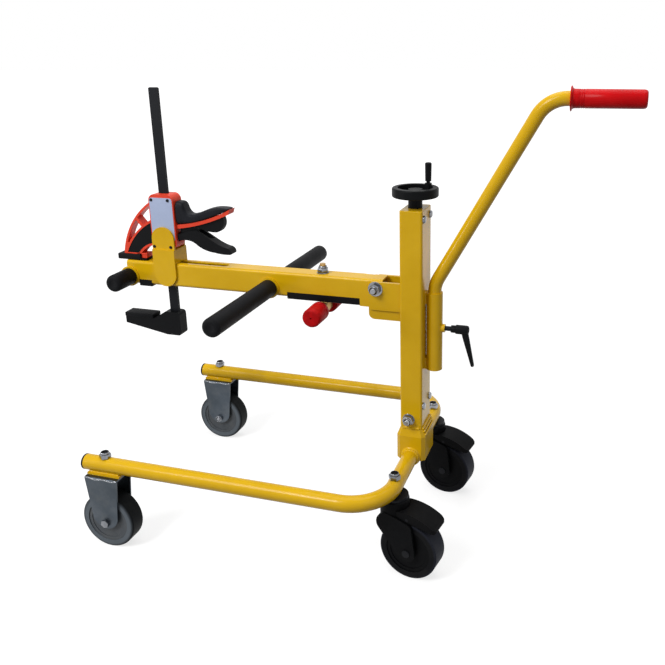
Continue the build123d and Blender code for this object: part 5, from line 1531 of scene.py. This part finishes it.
@dataclass
class ArmFittings(Section):
    """Rubber sleeves, pads and the soft-capped stop on the lifting arm."""

    rod_z: float = 0.432
    sleeve_r: float = 0.0155
    bore_r: float = 0.0101
    sleeve_from: float = 0.0195
    sleeve_round: float = 0.006
    sleeve_run: float = 0.04
    rods: tuple[tuple[float, float], ...] = ((-0.425, 0.071), (-0.147, 0.223))
    pad_half_w: float = 0.017
    pad_round: float = 0.0016
    pad_low_z: float = 0.4145
    pad_high_z: float = 0.427
    pads: tuple[tuple[float, float], ...] = ((-0.407, -0.381), (-0.114, 0.018))
    stop_z: float = 0.3995
    cap_from: float = 0.0175
    cap_l: float = 0.045
    cap_r: float = 0.0165

    def sleeve(self, reach: float) -> Piece:
        """Model one rubber sleeve of a cross rod along +Z.

        Args:
            reach: End of the sleeve from the middle.

        Returns:
            The sleeve at the origin.
        """
        start = self.sleeve_from
        profile = [
            (reach - 0.004, self.bore_r),
            (start, self.bore_r),
            (start, self.sleeve_r - 0.0012),
            (start + 0.0004, self.sleeve_r - 0.0003),
            (start + 0.0013, self.sleeve_r),
        ]
        runs = max(2, int((reach - start) / self.sleeve_run))
        for i in range(1, runs):
            profile.append((start + (reach - start) * i / runs, self.sleeve_r))
        for degrees in (0, 20, 40, 60, 78, 90):
            angle = math.radians(degrees)
            along = reach - self.sleeve_round + self.sleeve_round * math.sin(angle)
            profile.append((along, self.sleeve_r - self.sleeve_round * (1 - math.cos(angle))))
        profile += [(reach, 0.006), (reach - 0.0003, 0.0055)]
        return Workbench.turned("sleeve", profile, segments=56)

    def cap(self) -> Piece:
        """Model one soft red cap of the stop along +Z.

        Returns:
            The cap at the origin.
        """
        start, end = self.cap_from, self.cap_from + self.cap_l
        r = self.cap_r
        profile = (
            (end - 0.006, 0.0081),
            (start, 0.0081),
            (start, r - 0.0032),
            (start + 0.0008, r - 0.0012),
            (start + 0.0024, r - 0.0002),
            (start + 0.009, r),
            (start + 0.0098, r - 0.0011),
            (start + 0.0118, r - 0.0011),
            (start + 0.0126, r),
            (end - 0.02, r - 0.0002),
            (end - 0.0045, r - 0.0003),
            (end - 0.002, r - 0.0011),
            (end - 0.0006, r - 0.0026),
            (end, r - 0.0048),
            (end, 0.002),
            (end - 0.0008, 0.0015),
            (end - 0.0035, 0.0012),
        )
        return Workbench.turned("cap", profile, segments=56)

    def build(self, dresser: Dresser) -> None:
        """Build sleeves, pads and caps and paint the rods.

        Args:
            dresser: Gives finishes and places pieces.
        """
        finishes = dresser.finishes
        ways = (Axis.LEFT, Axis.RIGHT)
        sleeves = []
        for x, reach in self.rods:
            places = [at((x, 0.0, self.rod_z), way) for way in ways]
            sleeves += Workbench.copies(self.sleeve(reach), places, Smooth.SOFT)
        pads = []
        for front, rear in self.pads:
            pad = Workbench.block(
                "pad",
                (front, -self.pad_half_w, self.pad_low_z),
                (rear, self.pad_half_w, self.pad_high_z),
                self.pad_round,
                lambda middle, way: middle.z < self.pad_low_z + NEAR,
            )
            pads.append(Workbench.settle(pad, smooth=Smooth.SOFT))
        places = [at((LAYOUT.stop_x, 0.0, self.stop_z), way) for way in ways]
        caps = Workbench.copies(self.cap(), places, Smooth.SOFT)
        for name, pieces, material, slot, node in (
            ("rubber_sleeves", sleeves, finishes.black_rubber, "black_rubber", "rod_sleeves"),
            ("rubber_arm_pads", pads, finishes.black_rubber, "black_rubber", "arm_pads"),
            ("soft_stop_caps", caps, finishes.red_cap, "red_grip", "stop_caps"),
        ):
            dresser.place(Workbench.join(name, pieces), Body.ARM, material, slot, [node])
        dresser.paint(finishes.bright_steel, ("cross_rods",))
        dresser.paint(finishes.bronze, ("stop_tee",))


@dataclass
class BarClamp(Section):
    """Orange bar clamp with its soft grip, pads and black bar."""

    body_rear_x: float = -0.324
    pad_from: float = -0.45
    pad_to: float = -0.39
    pad_half_w: float = 0.013
    pad_step_x: float = -0.4025
    pad_step_z: float = 0.4655
    upper_pad_low_z: float = 0.4618
    upper_pad_high_z: float = 0.4725
    lower_pad_low_z: float = 0.35
    lower_pad_high_z: float = 0.358
    jaw_half_w: float = 0.009
    sole_low_z: float = 0.4726
    sole_high_z: float = 0.4745
    tab_high_z: float = 0.473
    pad_round: float = 0.0015
    step_round: float = 0.001
    step_half_w: float = 0.02
    step_top_z: float = 0.49
    sole_round: float = 0.0007
    sole_rear_x: float = -0.391
    grip_half_w: float = 12.4
    grip_low: tuple[float, float, float] = (70.0, 0.0938, 0.002006)
    narrow_from: float = 90.0
    narrow_rate: float = 0.011
    grip_top: Profile = (
        (0.3, 112.4), (4.0, 112.4), (9.0, 112.3), (12.0, 111.9), (14.5, 110.8), (16.0, 109.2),
        (17.0, 106.2), (17.8, 103.2), (18.9, 100.0), (20.7, 96.6), (23.7, 92.8), (28.0, 90.2),
        (33.0, 90.2), (39.0, 91.6), (45.0, 93.5), (53.0, 96.8), (62.0, 100.5), (70.5, 103.1),
        (79.0, 104.8), (87.0, 105.3), (95.0, 105.1), (101.0, 104.3), (105.0, 103.6),
    )
    groove_top: Profile = (
        (-0.5, 77.9), (13.0, 80.9), (26.0, 83.7), (38.0, 86.1), (51.0, 88.5), (64.0, 90.9),
        (78.0, 93.4), (95.0, 96.4),
    )
    groove_half_w: float = 6.3
    groove_low: float = 50.0

    def station(self, behind: float, low: float, high: float, half: float) -> Station:
        """Section of the grip from millimetres behind the body and above the arm."""
        x, low_z, high_z, half_w = (size / 1000 for size in (behind, low, high, half))
        return self.body_rear_x + x, LAYOUT.arm_top_z + low_z, LAYOUT.arm_top_z + high_z, half_w

    def grip(self) -> Piece:
        """Model the soft grip cover with a groove for the release lever.

        Returns:
            The cover in its place.
        """
        start, slope, bend = self.grip_low
        stations = []
        for behind, high in self.grip_top:
            low = start + slope * behind + bend * behind**2
            narrow = max(0.0, behind - self.narrow_from) ** 2 * self.narrow_rate
            stations.append(self.station(behind, low, high, self.grip_half_w - narrow))
        piece = Workbench.drawn("soft_grip_cover", stations, corner=0.26)
        Workbench.soften(piece, levels=2)
        stations = [
            self.station(behind, self.groove_low, high, self.groove_half_w)
            for behind, high in self.groove_top
        ]
        groove = Workbench.drawn("grip_groove", stations, corner=0.01)
        Workbench.settle(piece, smooth=Smooth.ROUND)
        Workbench.settle(groove)
        Workbench.cut(piece, groove)
        return Workbench.settle(piece, smooth=Smooth.ROUND)

    def jaw_pad(self, name: str, low_z: float, high_z: float) -> Piece:
        """Model a jaw pad with rounded edges.

        Args:
            name: Name of the pad.
            low_z: Lowest height.
            high_z: Highest height.

        Returns:
            The pad in its place.
        """
        low = (self.pad_from, -self.pad_half_w, low_z)
        high = (self.pad_to, self.pad_half_w, high_z)
        pad = Workbench.block(name, low, high, self.pad_round, lambda middle, way: True)
        return Workbench.settle(pad, smooth=Smooth.SOFT)

    def upper_pad(self) -> Piece:
        """Model the upper jaw's pad, stepped down at its rear for the jaw's tab.

        Returns:
            The pad in its place.
        """
        pad = self.jaw_pad("upper_jaw_pad", self.upper_pad_low_z, self.upper_pad_high_z)
        step = Workbench.block(
            "pad_step",
            (self.pad_step_x, -self.step_half_w, self.pad_step_z),
            (self.pad_to + 0.01, self.step_half_w, self.step_top_z),
            self.step_round,
            lambda middle, way: middle.x < self.pad_step_x + NEAR,
        )
        Workbench.cut(pad, step)
        return Workbench.settle(pad, smooth=Smooth.SOFT)

    def lower_pad(self) -> Piece:
        """Model the pad on the bar's foot."""
        return self.jaw_pad("lower_jaw_pad", self.lower_pad_low_z, self.lower_pad_high_z)

    def sole(self) -> Piece:
        """Model the rear end of the jaw's sole with the tab bent down behind the pad.

        Returns:
            The sole in its place.
        """
        plate = Workbench.block(
            "jaw_sole",
            (self.pad_step_x - 0.008, -self.jaw_half_w, self.sole_low_z),
            (self.sole_rear_x, self.jaw_half_w, self.sole_high_z),
            self.sole_round,
            lambda middle, way: middle.z > self.sole_high_z - NEAR,
        )
        tab = Workbench.block(
            "jaw_tab",
            (self.pad_step_x + 0.0003, -self.jaw_half_w, self.pad_step_z + 0.0003),
            (self.sole_rear_x, self.jaw_half_w, self.tab_high_z),
            self.sole_round,
            lambda middle, way: middle.x > self.sole_rear_x - NEAR,
        )
        pieces = [Workbench.settle(piece, smooth=Smooth.SOFT) for piece in (plate, tab)]
        return Workbench.join("upper_jaw_sole", pieces)

    def build(self, dresser: Dresser) -> None:
        """Build the soft pieces and paint the clamp.

        Args:
            dresser: Gives finishes and places pieces.
        """
        finishes = dresser.finishes
        for make, body, rubber, node in (
            (self.grip, Body.CLAMP, finishes.grip_rubber, "clamp_grip"),
            (self.upper_pad, Body.CLAMP, finishes.black_rubber, "jaw_pad"),
            (self.lower_pad, Body.BAR, finishes.black_rubber, "fixed_jaw_pad"),
        ):
            dresser.place(make(), body, rubber, "black_rubber", [node])
        dresser.place(self.sole(), Body.CLAMP, finishes.orange_plastic, "orange_plastic")
        for material, nodes in (
            (finishes.orange_plastic, ("clamp_body",)),
            (finishes.label_grey, ("label_plate",)),
            (finishes.black_steel, ("clamp_bar", "clamp_screws", "clamp_pins", "lock_plate")),
            (finishes.black_plastic, ("jaw_insert", "trigger", "release_lever", "fixed_jaw")),
        ):
            dresser.paint(material, nodes)


@dataclass
class Studio:
    """Pale floor, soft lamps and the camera at the photograph's angle."""

    eye: Point = (0.4214, -1.168, 0.84)
    yaw: float = 0.295
    pitch: float = -0.305
    roll: float = -0.011
    focal_px: float = 768.4
    centre_px: tuple[float, float] = (390.1, 281.3)
    image_px: float = 665.0
    sensor: float = 36.0
    clip_end: float = 50.0
    floor_size: float = 40.0
    floor_white: tuple[float, float] = (0.72, 1.0)
    floor_fade: tuple[float, float] = (0.9, 3.0)
    floor_grey: tuple[float, float] = (0.1, 0.36)
    sky_light: tuple[float, float] = (0.42, 1.0)
    lamp_aim: Point = (0.0, 0.0, 0.35)
    lamps: tuple[tuple[str, Point, float, float], ...] = (
        ("key_lamp", (-1.4, -2.2, 2.8), 1.5, 70.0),
        ("glint_lamp", (-0.9, -1.9, 2.1), 0.12, 8.0),
        ("window_lamp", (-1.6, -1.3, 0.7), 0.22, 6.0),
        ("fill_lamp", (1.9, -1.2, 1.5), 1.8, 6.0),
        ("top_lamp", (0.1, 0.5, 2.8), 2.2, 32.0),
    )

    def camera(self) -> None:
        """Add the camera."""
        ahead = Vector(
            (
                -math.sin(self.yaw) * math.cos(self.pitch),
                math.cos(self.yaw) * math.cos(self.pitch),
                math.sin(self.pitch),
            )
        )
        level = Vector((math.cos(self.yaw), math.sin(self.yaw), 0.0))
        upright = level.cross(ahead)
        right = math.cos(self.roll) * level + math.sin(self.roll) * upright
        up = -math.sin(self.roll) * level + math.cos(self.roll) * upright
        data = bpy.data.cameras.new("studio_camera")
        data.sensor_width = self.sensor
        data.lens = self.focal_px / self.image_px * self.sensor
        data.shift_x = -(self.centre_px[0] - self.image_px / 2) / self.image_px
        data.shift_y = (self.centre_px[1] - self.image_px / 2) / self.image_px
        data.clip_end = self.clip_end
        camera = bpy.data.objects.new("studio_camera", data)
        turn = Matrix((right, up, -ahead)).transposed().to_4x4()
        camera.matrix_world = Matrix.Translation(self.eye) @ turn
        bpy.context.scene.collection.objects.link(camera)
        bpy.context.scene.camera = camera

    @staticmethod
    def seen(wiring: Wiring) -> Socket:
        """Mask of the rays that show a surface, beside those that only light others.

        Args:
            wiring: Nodes of the surface or the world.

        Returns:
            The mask, 1 for camera, glossy and transmission rays.
        """
        path = wiring.node("ShaderNodeLightPath").outputs
        mask = path["Is Camera Ray"]
        for kind in ("Is Glossy Ray", "Is Transmission Ray"):
            both = wiring.node("ShaderNodeMath", {0: mask, 1: path[kind]}, use_clamp=True)
            mask = both.outputs["Value"]
        return mask

    def floor(self) -> None:
        """Add the pale floor, white far away where no horizon shows."""
        Workbench.clear()
        bpy.ops.mesh.primitive_plane_add(size=self.floor_size)
        floor = bpy.context.active_object
        floor.name = "studio_floor"
        material = bpy.data.materials.new("pale_floor")
        material.use_nodes = True
        wiring = Wiring(material.node_tree)
        coords = wiring.node("ShaderNodeTexCoord").outputs["Object"]
        away = wiring.node("ShaderNodeVectorMath", {0: coords}, operation="LENGTH")
        white = wiring.ranged(away.outputs["Value"], *self.floor_white, *self.floor_fade)
        shown = wiring.times(self.seen(wiring), white)
        glow = wiring.node("ShaderNodeEmission", {"Strength": shown})
        grey = wiring.ranged(self.seen(wiring), *self.floor_grey)
        dull = wiring.node("ShaderNodeBsdfDiffuse", {"Color": grey})
        both = wiring.node(
            "ShaderNodeAddShader", {0: glow.outputs["Emission"], 1: dull.outputs["BSDF"]}
        )
        wiring.node("ShaderNodeOutputMaterial", {"Surface": both.outputs["Shader"]})
        floor.data.materials.append(material)

    def sky(self) -> None:
        """Light the scene evenly and show white behind it."""
        world = bpy.data.worlds.new("studio_world")
        bpy.context.scene.world = world
        world.use_nodes = True
        wiring = Wiring(world.node_tree)
        strength = wiring.ranged(self.seen(wiring), *self.sky_light)
        background = wiring.node(
            "ShaderNodeBackground", {"Color": (1.0, 1.0, 1.0, 1.0), "Strength": strength}
        )
        wiring.node("ShaderNodeOutputWorld", {"Surface": background.outputs["Background"]})

    def lamp(self, name: str, spot: Point, size: float, power: float) -> None:
        """Add one soft lamp aimed at the trolley.

        Args:
            name: Name of the lamp.
            spot: Where it hangs.
            size: Side of its square face.
            power: Power in watts.
        """
        data = bpy.data.lights.new(name, "AREA")
        data.size = size
        data.energy = power
        lamp = bpy.data.objects.new(name, data)
        aim = (Vector(self.lamp_aim) - Vector(spot)).to_track_quat("-Z", "Y")
        lamp.matrix_world = Matrix.Translation(spot) @ aim.to_matrix().to_4x4()
        bpy.context.scene.collection.objects.link(lamp)

    def build(self) -> None:
        """Set up the studio."""
        bpy.context.scene.view_settings.view_transform = "Standard"
        self.camera()
        self.floor()
        self.sky()
        for name, spot, size, power in self.lamps:
            self.lamp(name, spot, size, power)


def main() -> None:
    """Build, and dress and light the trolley."""
    logging.basicConfig(level=logging.INFO, format="%(name)s: %(message)s")
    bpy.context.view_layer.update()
    dresser = Dresser(Finishes(TextureKit()))
    for section in (Steelwork, Fasteners, Castors, ScrewLift, PushHandle, ArmFittings, BarClamp):
        section().build(dresser)
        LOG.info("finished %s", section.__name__)
    Studio().build()


if __name__ == "__main__":
    main()
